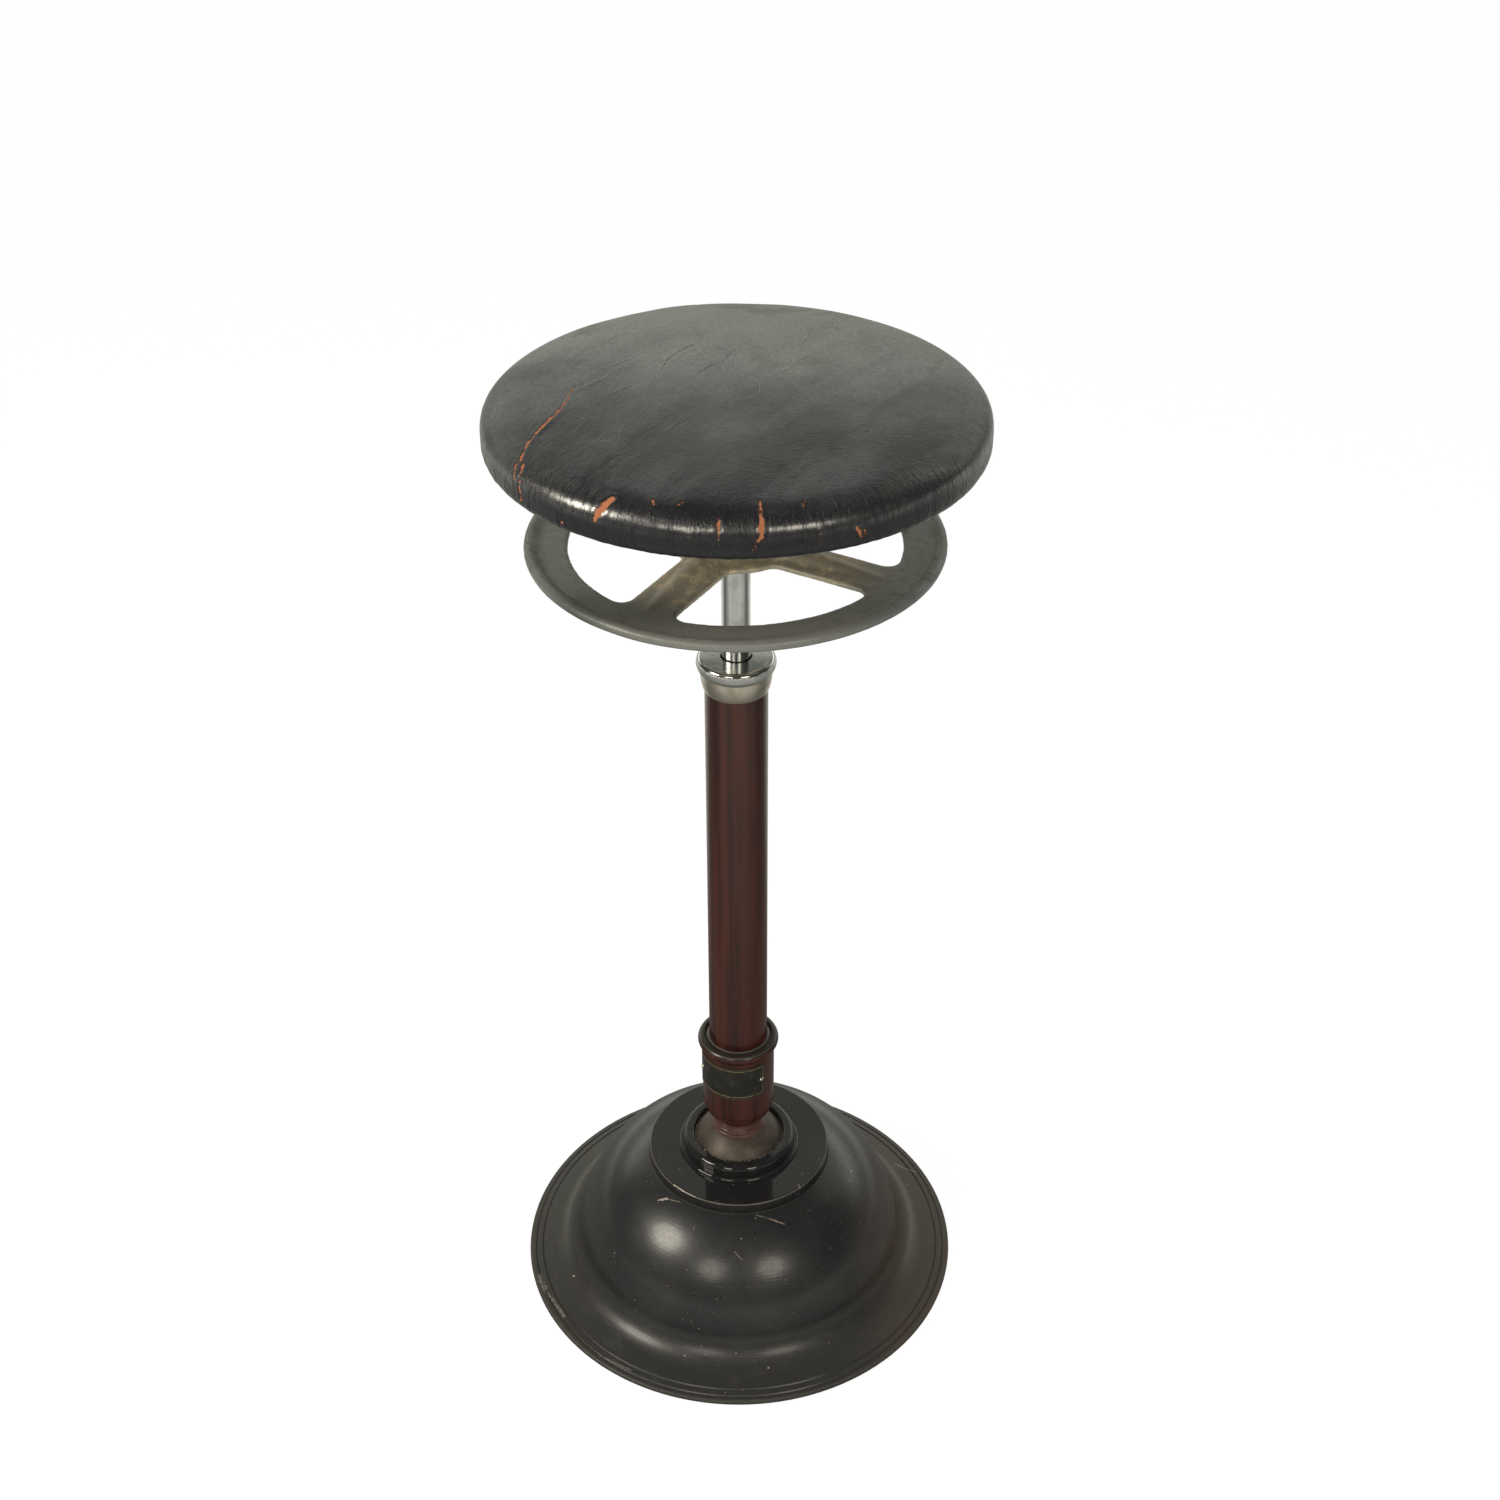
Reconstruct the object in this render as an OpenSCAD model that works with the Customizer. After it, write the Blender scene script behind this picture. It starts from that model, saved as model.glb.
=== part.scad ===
// Dental stool on a bell base. A ball joint lets the column lean, a hand wheel
// on a screw spindle sets the height, and the leather seat swivels on a ball race.
// Origin: centre of the footprint on the floor, +Z up, sizes in millimetres.

/* [Bell base] */
// Outer radius of the foot
base_r = 173.4; // [168:0.2:180]
// Height of the bead round the foot's edge
rim_h = 5; // [4.6:0.1:6]
// Radius of the two turned lines in the foot, measured in from the edge
rim_line_in = 5.2; // [4.6:0.1:6]
// Thickness of the iron wall
bell_wall = 6; // [4:0.5:7]
// Radius where the bell's curve meets the hollow curve
bell_r = 130; // [124:0.5:134]
// Height of the bell's flat top
bell_h = 103.4; // [98:0.2:110]
// Radius of the bell's curve in section
bell_sweep = 95; // [88:1:110]
// Radius of the hollow curve between foot and bell
foot_fillet = 26; // [20:0.5:28]
// Thickness of the bell's top, which carries the ball cup
bell_top_t = 8; // [6:0.5:10]
// Height of the felt ring under the foot
felt_h = 3; // [2:0.1:3.4]

/* [Ball joint] */
// Radius of the ball
ball_r = 40.8; // [39:0.1:41.5]
// Depth of the ball's centre below the bell's top
ball_drop = 4.4; // [3:0.1:6]
// Thickness of the friction liner round the ball
liner_t = 1.8; // [1:0.1:2.2]
// Wall of the cup under the ball
cup_wall = 6; // [5:0.1:6.5]
// Radius of the cover disc
cover_r = 71.4; // [68:0.2:75]
// Height of the cover disc
cover_h = 8.9; // [7:0.1:11]
// Radius of the retainer ring's lower step
ring_step_r = 48.1; // [46:0.1:49.5]
// Height of the retainer ring's lower step
ring_step_h = 2.7; // [2:0.1:4]
// Radius of the retainer ring's upper step
ring_r = 44.2; // [43.5:0.1:45.5]
// Height of the retainer ring's upper step
ring_h = 9; // [7:0.1:11]
// Radius of the retainer ring's mouth
ring_mouth_r = 35.7; // [35:0.1:37]
// Shank radius of the four cup bolts
cup_bolt_r = 4; // [3:0.1:4.4]
// Shank radius of the drawbolt
drawbolt_r = 6; // [5:0.1:7]
// Mean radius of the draw spring
spring_r = 22; // [20:0.1:23]
// Wire thickness of the draw spring
spring_wire = 6.4; // [5:0.1:6.8]
// Working length of the draw spring
spring_len = 31; // [28:0.5:34]
// Curls of the draw spring
spring_curls = 3; // [2:1:3]

/* [Column] */
// Radius of the beads round the neck
bead_r = 21; // [20:0.1:22]
// Height of the neck between the beads and the barrel
neck_h = 14; // [12:0.5:18]
// Radius of the barrel
barrel_r = 27.8; // [26.5:0.1:30]
// Height of the barrel under its flange
barrel_h = 65.6; // [60:0.2:75]
// Radius of the barrel's top flange
flange_r = 31.2; // [30.5:0.1:34]
// Radius of the column tube
tube_r = 22.25; // [21.5:0.05:23]
// Wall of the column tube
tube_wall = 2.5; // [2:0.1:3.2]
// Length of the column tube
tube_len = 389; // [360:1:430]
// Height of the plate on the barrel
plate_h = 31; // [24:0.5:36]
// Angle that the plate wraps round the barrel
plate_wrap = 129; // [90:1:150]
// Direction in which the plate faces
plate_turn = -108.5; // [-180:0.5:180]

/* [Collar] */
// Height of the nickel ferrule
ferrule_h = 15; // [12:0.5:20]
// Radius of the ferrule's top edge
ferrule_r = 25; // [24.3:0.1:26]
// Radius of the knurled collar
collar_r = 27.4; // [26.8:0.1:29]
// Height of the knurled band
knurl_h = 8.3; // [7.5:0.1:10]
// Height of the collar's polished top above the band
collar_cap_h = 2.1; // [1.8:0.1:3]
// Radius of the collar's mouth
collar_mouth_r = 10.8; // [10.4:0.1:12]

/* [Spindle and wheel] */
// Radius of the spindle
spindle_r = 9.9; // [9:0.1:10.1]
// Lift of the wheel above its lowest place, as drawn
lift_now = 75; // [60:1:90]
// Whole lift from lowest to highest
lift_all = 165; // [130:1:170]
// Outer radius of the hand wheel
wheel_r = 140.2; // [134:0.2:150]
// Radius of the bead round the wheel, in section
wheel_bead = 4.1; // [3.6:0.1:5]
// Radius out to which the wheel is open
opening_r = 111; // [104:0.5:116]
// Width of a spoke
spoke_w = 34; // [28:0.5:38]
// Thickness of the wheel's web
web_t = 4.6; // [3.6:0.1:6]
// Height of a spoke's ridge above the web at the hub
ridge_h = 9; // [5:0.5:11]
// Radius of the corners of the openings
corner_r = 8; // [5:0.5:11]
// Direction of the first spoke
spoke_turn = -30.5; // [-45:0.5:45]
// Height of the hub
hub_h = 40; // [34:0.5:46]
// Radius of the hub's top
hub_r = 23; // [22:0.1:25]

/* [Seat bearing] */
// Radius of the bearing balls
race_ball_r = 4; // [3:0.1:4.5]
// Radius of the circle on which the balls run
race_pitch_r = 16.5; // [15.5:0.1:17]
// Balls in the bearing
race_balls = 10; // [8:1:11]
// Height of each race
race_h = 5; // [4:0.1:7]
// Radius of the spindle's journal
journal_r = 8; // [7:0.1:8.5]

/* [Seat] */
// Outer radius of the seat
seat_r = 163.4; // [155:0.2:175]
// Height of the seat's widest level above its underside
seat_side = 13.4; // [11:0.1:16]
// Height of the crown above the seat's widest level
seat_rise = 24.7; // [20:0.1:30]
// How flat the crown is: 2 is an ellipse, more is flatter in the middle
crown_power = 5; // [3:0.1:8]
// How upright the shoulder is: 2 is an ellipse, more is squarer
side_power = 3; // [2:0.1:5]
// Radius of the rounded lower edge
lower_round = 8; // [6:0.5:10]
// Thickness of the leather
leather_t = 2.1; // [1.5:0.1:2.5]
// Thickness of the seat board
board_t = 14; // [10:0.5:16]
// How far the seat's edge stands out past its board
board_in = 11; // [9:0.5:16]
// Height of the cast plate under the seat
seat_plate_h = 28.2; // [26:0.2:36]
// Radius of the seat plate's flange
seat_plate_r = 80; // [70:0.5:95]
// Thickness of the seat plate's flange
seat_plate_t = 5; // [4:0.1:7]
// Tacks that hold the leather underneath
tack_count = 24; // [16:1:30]

/* [Fits] */
// Radial clearance of a pressed or screwed fit
fit = 0.02; // [0.01:0.01:0.05]
// Radial clearance of a turning shaft
run_fit = 0.06; // [0.04:0.01:0.08]
// Space between neighbours that move past each other
gap = 0.3; // [0.25:0.01:0.35]

/* [Hidden] */
$fn = 96;

iron_black = "#1b1c1d";
gloss_black = "#101112";
mahogany = "#3d1a14";
nickel = "#b9b6ae";
steel = "#8d8f91";
bronze = "#a07a3c";
wheel_grey = "#7b7c74";
hide_black = "#191b1c";

// How far a cut runs past the face that it opens
cut = 1;

// Base, from the floor up
foot_z = 0.8;
rim_bead = (rim_h - foot_z) / 2;
rim_line_w = 0.8;
rim_line_d = 0.7;
felt_r = base_r - rim_bead - 2.3;
felt_w = 9.8;
rim_in_r = felt_r - felt_w - 3;
foot_rise = 25;
foot_wall = 5.2;
bell_edge = 0.7;
bell_foot = [bell_r, rim_h + foot_rise];
bell_crest = [cover_r + bell_edge, bell_h];
bell_c = arc_centre(bell_foot, bell_crest, bell_sweep);
bell_lean = atan2(bell_foot.y - bell_c.y, bell_foot.x - bell_c.x);
bell_top_a = atan2(bell_crest.y - bell_c.y, bell_crest.x - bell_c.x);
fillet_c = bell_foot + foot_fillet * [cos(bell_lean), sin(bell_lean)];
fillet_end_a = 260.5;
bell_in = bell_sweep - bell_wall;
boss_z = bell_h - bell_top_t;
bell_in_top_a = asin((boss_z - bell_c.y) / bell_in);

// Ball joint
ball_z = bell_h - ball_drop;
seat_ball_r = ball_r + gap;
liner_out_r = seat_ball_r + liner_t;
cup_in_r = liner_out_r + gap;
cup_out_r = cup_in_r + cup_wall;
ball_hole_r = cup_in_r + gap;
cup_flange_t = 8;
cup_flange_z = boss_z - cup_flange_t;
cup_boss_r = 27;
cup_hole_r = 17.5;
ball_flat = 37;
ball_flat_z = ball_z - ball_flat;
cup_floor_z = ball_z - cup_out_r + 0.2;
liner_hole_r = 19;
liner_top_a = -8.5;
cover_z = bell_h;
cover_top_z = cover_z + cover_h;
ring_step_z = cover_top_z + ring_step_h;
ring_top_z = ring_step_z + ring_h;
ring_thread_r = ring_r - 0.2;
edge_round = 1.4;
ring_round = 3.8;
step_round = 2.2;
cup_bolt_in = 14.4;
cup_bolt_at = cover_r - cup_bolt_in;
cup_bolt_head_r = cup_bolt_r * 1.85;
cup_bolt_head_h = 6;
cup_bolt_top = cover_z + cover_h - 3;
drawbolt_deep = 26;
washer_t = 3;
washer_z = cup_floor_z - spring_len - washer_t;
nut_h = 8;
nut_z = washer_z - nut_h;
drawbolt_end = nut_z - 1.8;
nut_r = drawbolt_r * 1.75;
cotter_r = 1.2;
cotter_z = nut_z + nut_h * 0.32;

// Column, from the ball up
bead_z = ball_z + sqrt(ball_r * ball_r - bead_r * bead_r);
bead_t = 1.8;
bead_step = 3.6;
neck_r = bead_r - 3;
neck_z = bead_z + bead_step + bead_t;
barrel_z = neck_z + neck_h;
barrel_round = 7.5;
barrel_under_r = barrel_r - 3;
barrel_full_z = barrel_z + barrel_round;
barrel_top = barrel_z + barrel_h;
flange_round = 4.3;
flange_c = [flange_r - flange_round, barrel_top + flange_round - 0.4];
lip_r = tube_r + 1.1;
lip_z = flange_c.y + flange_round - 0.5;
lip_dish = 0.9;
tube_z = barrel_full_z + 6;
tube_top = tube_z + tube_len;
tube_in_r = tube_r - tube_wall;
plate_t = 0.7;
plate_below_top = 5.2;
plate_z = barrel_top - plate_below_top - plate_h;
pin_r = 1.3;
pin_from_edge = 7.2;
pin_turns = [
  plate_turn + plate_wrap / 2 - pin_from_edge,
  plate_turn - plate_wrap / 2 + pin_from_edge
];

// Ferrule, collet and collar, from the tube's end up
ferrule_z = tube_top - ferrule_h + 4;
ferrule_top = ferrule_z + ferrule_h;
nose_r = collar_r - 6.6;
nose_h = knurl_h - 2.3;
nose_top = ferrule_top - gap + nose_h;
cone_in_r = 13;
cone_out_r = 16.4;
collar_z = ferrule_top;
knurl_top = collar_z + knurl_h;
collar_top = knurl_top + collar_cap_h;
cap_inside = nose_top + gap;
collar_round = 2.9;
bush_h = 36;
bush_z = tube_top - bush_h;

// Spindle and wheel
hub_clear = 4.6;
hub_z = collar_top + hub_clear + lift_now;
hub_top = hub_z + hub_h;
web_z = hub_z + 6.5;
web_top = web_z + web_t;
lift_up = lift_all - lift_now;
lift_down = lift_now;
nut_len = 30;
nut_free = 5;
thread_r = spindle_r - 0.4;
thread_top = collar_top - lift_up - nut_free;
spindle_nut_z = thread_top - lift_down - nut_free - nut_len;
stop_t = 4;
stop_z = spindle_nut_z - lift_up - nut_free - stop_t;
stop_r = tube_in_r - 1.2;
spindle_end = stop_z - 10;
stop_pin_r = 2;
stop_pin_z = stop_z - stop_pin_r - fit;
wheel_pin_r = 2.6;
wheel_pin_z = hub_top - 9;
web_disc_r = 42;
ridge_r = 15;
ridge_end_r = 8;
ridge_in = 12;
ridge_out = opening_r + 8;

// Seat bearing, from the hub up
groove_r = race_ball_r + gap;
groove_d = 0.9;
race_gap = 2 * (groove_r - groove_d);
race_in_r = journal_r + 1;
race_out_r = race_pitch_r + race_ball_r + 2;
lower_race_z = hub_top;
race_mid = lower_race_z + race_h + race_gap / 2;
upper_race_z = race_mid + race_gap / 2;
cage_t = 3;
cage_w = race_ball_r + 1;

// Seat, from the upper race up
plate_hub_z = upper_race_z + race_h;
board_z = plate_hub_z + seat_plate_h;
flange_z = board_z - seat_plate_t;
skirt_in_r = race_out_r + gap;
skirt_t = 3;
skirt_drop = 11;
plate_hub_r = skirt_in_r + skirt_t;
nut_floor_z = plate_hub_z + 12;
nut_well_r = 14.5;
top_washer_t = 2;
top_washer_z = nut_floor_z + gap;
top_nut_h = 7;
top_nut_z = top_washer_z + top_washer_t;
spindle_top = top_nut_z + top_nut_h + 1;
top_thread_r = journal_r - 0.5;
rib_t = 6;
rib_out = seat_plate_r - 6;
screw_at = seat_plate_r - 14;
screw_r = 2.4;
screw_head_r = 5;
screw_in = 11;
seat_z = board_z - leather_t;
widest_z = seat_z + seat_side;
board_r = seat_r - board_in;
leather_lap = 14;
leather_in_r = board_r - leather_lap;
tack_at = board_r - leather_lap / 2;
tack_head_r = 3;
tack_head_h = 1.2;
tack_r = 0.7;
tack_len = 11;

// Centre of the circle of radius r through p and q that lies towards the axis
function arc_centre(p, q, r) =
  let(d = q - p, l = norm(d), h = sqrt(max(r * r - l * l / 4, 0)))
  (p + q) / 2 + h / l * [-d.y, d.x];

// Points of an arc round c from angle a to angle b
function arc(c, r, a, b, n = 8) =
  [for (i = [0 : n]) let(t = a + (b - a) * i / n) c + r * [cos(t), sin(t)]];

// A plain turned ring
module ring(r_out, r_in, z, h) {
  translate([0, 0, z])
    difference() {
      cylinder(r = r_out, h = h);
      translate([0, 0, -cut]) cylinder(r = r_in, h = h + 2 * cut);
    }
}

// Copies of its children at the same distance from the axis
module around(count, at, turn = 0) {
  for (i = [0 : count - 1])
    rotate([0, 0, turn + i * 360 / count])
      translate([at, 0, 0])
        children();
}

// Iron foot and bell in one casting, hollow underneath
function foot_slope_z(r) =
  let(p = [base_r - rim_bead, rim_h], q = fillet_c + foot_fillet * [cos(fillet_end_a), sin(fillet_end_a)])
  p.y + (q.y - p.y) * (p.x - r) / (p.x - q.x);

function rim_line(r) = [
  [r + rim_line_w, foot_slope_z(r + rim_line_w)],
  [r, foot_slope_z(r) - rim_line_d],
  [r - rim_line_w, foot_slope_z(r - rim_line_w)]
];

module base_bell() {
  color(iron_black)
    difference() {
      rotate_extrude()
        polygon(concat(
          [[rim_in_r, foot_z]],
          arc([base_r - rim_bead, foot_z + rim_bead], rim_bead, -90, 90),
          rim_line(base_r - rim_line_in),
          rim_line(base_r - 2 * rim_line_in - 0.4),
          arc(fillet_c, foot_fillet, fillet_end_a, 180 + bell_lean, 18),
          arc(bell_c, bell_sweep, bell_lean, bell_top_a, 36),
          [[ball_hole_r, bell_h], [ball_hole_r, boss_z]],
          arc(bell_c, bell_in, bell_in_top_a, bell_lean, 16),
          arc(fillet_c, foot_fillet + bell_wall, 180 + bell_lean, fillet_end_a, 8),
          [[rim_in_r, foot_slope_z(rim_in_r) - foot_wall]]
        ));
      ring(felt_r + fit, felt_r - felt_w - fit, foot_z - cut, felt_h - foot_z + cut);
      around(4, cup_bolt_at, 45)
        translate([0, 0, boss_z - cut])
          cylinder(r = cup_bolt_r + 0.2, h = bell_top_t + 2 * cut);
    }
}

module floor_ring() {
  color("#2c2a26") ring(felt_r, felt_r - felt_w, 0, felt_h);
}

// Cup bolted under the bell's top, with a round seat for the liner
module ball_cup() {
  color(iron_black)
    difference() {
      rotate_extrude()
        polygon(concat(
          [[cover_r - 3, boss_z], [cover_r - 3, cup_flange_z]],
          arc([0, ball_z], cup_out_r, asin((cup_flange_z - ball_z) / cup_out_r), -acos(cup_boss_r / cup_out_r)),
          [
            [cup_boss_r, cup_floor_z],
            [cup_hole_r, cup_floor_z]
          ],
          arc([0, ball_z], cup_in_r, -acos(cup_hole_r / cup_in_r), asin((boss_z - ball_z) / cup_in_r), 12)
        ));
      around(4, cup_bolt_at, 45)
        translate([0, 0, cup_flange_z - cut])
          cylinder(r = cup_bolt_r + 0.2, h = cup_flange_t + 2 * cut);
    }
}

module cup_bolts() {
  color(steel)
    around(4, cup_bolt_at, 45) {
      translate([0, 0, cup_flange_z - cup_bolt_head_h])
        cylinder(r = cup_bolt_head_r, h = cup_bolt_head_h, $fn = 6);
      translate([0, 0, cup_flange_z - 1])
        cylinder(r = cup_bolt_r, h = cup_bolt_top - cup_flange_z + 1);
    }
}

// Disc over the bell's top, tapped for the cup bolts and for the retainer ring
module cover_disc() {
  color(gloss_black)
    difference() {
      rotate_extrude()
        polygon(concat(
          [[ring_thread_r + fit, cover_z]],
          [[cover_r - 0.4, cover_z], [cover_r, cover_z + 0.4]],
          arc([cover_r - edge_round, cover_top_z - edge_round], edge_round, 0, 90, 8),
          [[ring_thread_r + fit, cover_top_z]]
        ));
      around(4, cup_bolt_at, 45)
        translate([0, 0, cover_z - cut])
          cylinder(r = cup_bolt_r + fit, h = cup_bolt_top - cover_z + cut + 0.4);
    }
}

// Stepped ring that keeps the ball down
module retainer_ring() {
  color(gloss_black)
    rotate_extrude()
      polygon(concat(
        [[ring_thread_r, cover_z], [ring_thread_r, cover_top_z], [ring_step_r, cover_top_z]],
        arc([ring_step_r - step_round, ring_step_z - step_round], step_round, 0, 90, 10),
        [[ring_r, ring_step_z]],
        arc([ring_r - ring_round, ring_top_z - ring_round], ring_round, 0, 90, 14),
        arc([ring_mouth_r + edge_round, ring_top_z - edge_round], edge_round, 90, 180, 8),
        arc(
          [0, ball_z], seat_ball_r,
          acos(ring_mouth_r / seat_ball_r), asin(ball_drop / seat_ball_r), 6
        )
      ));
}

// Fibre liner between cup and ball
module ball_liner() {
  color("#6b5238")
    rotate_extrude()
      polygon(concat(
        arc([0, ball_z], liner_out_r, -acos(liner_hole_r / liner_out_r), liner_top_a, 12),
        arc([0, ball_z], seat_ball_r, liner_top_a, -acos(liner_hole_r / seat_ball_r), 12)
      ));
}

// Ball, neck, barrel and tube socket in one casting
module column_socket() {
  color(mahogany)
    difference() {
      rotate_extrude()
        polygon(concat(
          [[0, ball_flat_z]],
          arc([0, ball_z], ball_r, -asin(ball_flat / ball_r), acos(bead_r / ball_r), 32),
          arc([bead_r - bead_t, bead_z + 0.6], bead_t, -20, 75, 8),
          arc([bead_r - bead_t - 0.9, bead_z + bead_step], bead_t, -60, 75, 8),
          [[neck_r, neck_z + neck_h * 0.35]],
          arc(
            [neck_r + neck_h * 0.65, neck_z + neck_h * 0.35], neck_h * 0.65,
            180, 100, 10
          ),
          [[barrel_under_r, barrel_z + 1.2]],
          arc(
            [barrel_r - barrel_round, barrel_full_z], barrel_round,
            -acos((barrel_under_r - barrel_r + barrel_round) / barrel_round), 0, 10
          ),
          [[barrel_r, barrel_top - 1.6]],
          arc(flange_c, flange_round, -62, 100, 20),
          [[(lip_r + flange_c.x) / 2, lip_z - lip_dish], [lip_r, lip_z]],
          [[tube_r + fit, lip_z], [tube_r + fit, tube_z], [0, tube_z]]
        ));
      translate([0, 0, ball_flat_z - cut])
        cylinder(r = drawbolt_r + fit, h = drawbolt_deep + cut);
      for (a = pin_turns)
        rotate([0, 0, a])
          translate([barrel_r - 3, 0, plate_z + plate_h / 2])
            rotate([0, 90, 0])
              cylinder(r = pin_r + fit, h = 5);
    }
}

// Thin curved plate with no wording, held by two pins
module socket_plate() {
  color("#16170f")
    difference() {
      rotate([0, 0, plate_turn - plate_wrap / 2])
        rotate_extrude(angle = plate_wrap)
          translate([barrel_r + fit, plate_z])
            square([plate_t, plate_h]);
      for (a = pin_turns)
        rotate([0, 0, a])
          translate([barrel_r - 1, 0, plate_z + plate_h / 2])
            rotate([0, 90, 0])
              cylinder(r = pin_r + fit, h = 4);
    }
}

module plate_pins() {
  color(nickel)
    for (a = pin_turns)
      rotate([0, 0, a])
        translate([barrel_r - 3 + fit, 0, plate_z + plate_h / 2])
          rotate([0, 90, 0])
            rotate_extrude()
              polygon([
                [0, 0], [pin_r, 0], [pin_r, 3 + plate_t], [pin_r + 0.7, 3 + plate_t],
                [pin_r + 0.4, 3.5 + plate_t], [pin_r - 0.4, 3.9 + plate_t], [0, 4.1 + plate_t]
              ]);
}

module drawbolt() {
  color(steel)
    difference() {
      translate([0, 0, drawbolt_end])
        cylinder(r = drawbolt_r, h = ball_flat_z + drawbolt_deep - 1 - drawbolt_end);
      translate([-nut_r - cut, 0, cotter_z])
        rotate([0, 90, 0])
          cylinder(r = cotter_r + fit, h = 2 * nut_r + 2 * cut);
    }
}

module spring_washer() {
  color(steel) {
    ring(spring_r + spring_wire / 2 + 2, drawbolt_r + run_fit, washer_z, washer_t);
    ring(spring_r - spring_wire / 2 - 1, drawbolt_r + run_fit, washer_z, washer_t + 2.5);
  }
}

module drawbolt_nut() {
  color(steel)
    difference() {
      translate([0, 0, nut_z])
        cylinder(r = nut_r, h = nut_h, $fn = 6);
      translate([0, 0, nut_z - cut])
        cylinder(r = drawbolt_r + fit, h = nut_h + 2 * cut);
      translate([-nut_r - cut, 0, cotter_z])
        rotate([0, 90, 0])
          cylinder(r = cotter_r + fit, h = 2 * nut_r + 2 * cut);
    }
}

module cotter_pin() {
  color(steel)
    translate([-nut_r - 1.5, 0, cotter_z])
      rotate([0, 90, 0])
        cylinder(r = cotter_r, h = 2 * nut_r + 3);
}

// Draw spring as one unbroken wire, ground flat where it seats
spring_sides = 6;
spring_rings = spring_curls * 8;
spring_low = washer_z + washer_t + spring_wire / 2 + gap;
spring_high = cup_floor_z - spring_wire / 2 - gap;
function spring_point(i) =
  let(t = i / spring_rings)
  [
    spring_r * cos(360 * spring_curls * t),
    spring_r * sin(360 * spring_curls * t),
    spring_low + (spring_high - spring_low) * t
  ];
spring_pitch_a = atan2((spring_high - spring_low) / spring_curls, 2 * PI * spring_r);
function spring_ring(i) =
  let(a = 360 * spring_curls * i / spring_rings)
  [for (k = [0 : spring_sides - 1])
    let(b = 360 * k / spring_sides, u = cos(b) * spring_wire / 2, v = sin(b) * spring_wire / 2)
    spring_point(i) + [
      u * cos(a) + v * sin(spring_pitch_a) * sin(a),
      u * sin(a) - v * sin(spring_pitch_a) * cos(a),
      v * cos(spring_pitch_a)
    ]
  ];
spring_points = [for (i = [0 : spring_rings]) each spring_ring(i)];
spring_self_gap = min([
  for (i = [0 : spring_rings])
    for (j = [i + 6 : 1 : spring_rings])
      norm(spring_point(i) - spring_point(j)) - spring_wire
]);

module draw_spring() {
  echo(least_gap_in_draw_spring_mm = spring_self_gap);
  color(steel)
    polyhedron(
      points = spring_points,
      faces = concat(
        [for (k = [1 : spring_sides - 2]) [0, k, k + 1]],
        [for (i = [0 : spring_rings - 1])
          for (k = [0 : spring_sides - 1])
            let(n = (k + 1) % spring_sides, a = i * spring_sides, b = a + spring_sides)
            each [[a + k, b + k, b + n], [a + k, b + n, a + n]]],
        [for (k = [1 : spring_sides - 2])
          let(e = spring_rings * spring_sides)
          [e, e + k + 1, e + k]]
      )
    );
}

module column_tube() {
  color(mahogany) ring(tube_r, tube_in_r, tube_z, tube_len);
}

// Nut brazed inside the tube, in which the spindle's screw turns
module spindle_nut() {
  color(bronze) ring(tube_in_r - fit, spindle_r - 0.4 + run_fit, spindle_nut_z, nut_len);
}

// Bush that guides the plain part of the spindle
module guide_bush() {
  color(bronze) ring(tube_in_r - fit, spindle_r + run_fit, bush_z, bush_h);
}

// Ferrule on the tube's end, with a screwed nose and a cone for the collet
module ferrule() {
  color(nickel)
    rotate_extrude()
      polygon(concat(
        [[tube_r + fit, ferrule_z], [tube_r + 0.6, ferrule_z]],
        arc_to([tube_r + 0.6, ferrule_z], [ferrule_r, ferrule_top - 1.5], 0.7),
        [
          [ferrule_r, ferrule_top - gap],
          [nose_r, ferrule_top - gap],
          [nose_r, nose_top],
          [cone_out_r, nose_top],
          [cone_in_r, tube_top + fit],
          [tube_r + fit, tube_top + fit]
        ]
      ));
}

// A line from p to q that swells outwards by s in the middle
function arc_to(p, q, s) =
  [for (i = [1 : 8]) let(t = i / 8) p + (q - p) * t + [4 * s * t * (1 - t), 0]];

// Split cone that grips the spindle when the collar is screwed down
module collet() {
  color(bronze)
    difference() {
      rotate_extrude()
        polygon([
          [spindle_r + run_fit, tube_top + 2 * fit],
          [cone_in_r - 4 * fit, tube_top + 2 * fit],
          [cone_out_r - 4 * fit, nose_top],
          [spindle_r + run_fit, nose_top]
        ]);
      for (a = [0 : 120 : 240])
        rotate([0, 0, a])
          translate([0, -0.6, tube_top - cut])
            cube([cone_out_r + cut, 1.2, nose_top - tube_top + 2 * cut]);
    }
}

// Collar with a knurled band and a polished round top
module knurled_collar() {
  color(nickel)
    rotate_extrude()
      polygon(concat(
        [[nose_r + gap, collar_z], [collar_r - 1.9, collar_z]],
        arc_to([collar_r - 1.9, collar_z], [collar_r - 0.3, knurl_top], 1.2),
        arc([collar_r - collar_round, collar_top - collar_round], collar_round, 12, 90, 12),
        [
          [collar_mouth_r + 0.5, collar_top],
          [collar_mouth_r, collar_top - 0.5],
          [collar_mouth_r, cap_inside],
          [nose_r + gap, cap_inside]
        ]
      ));
}

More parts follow.
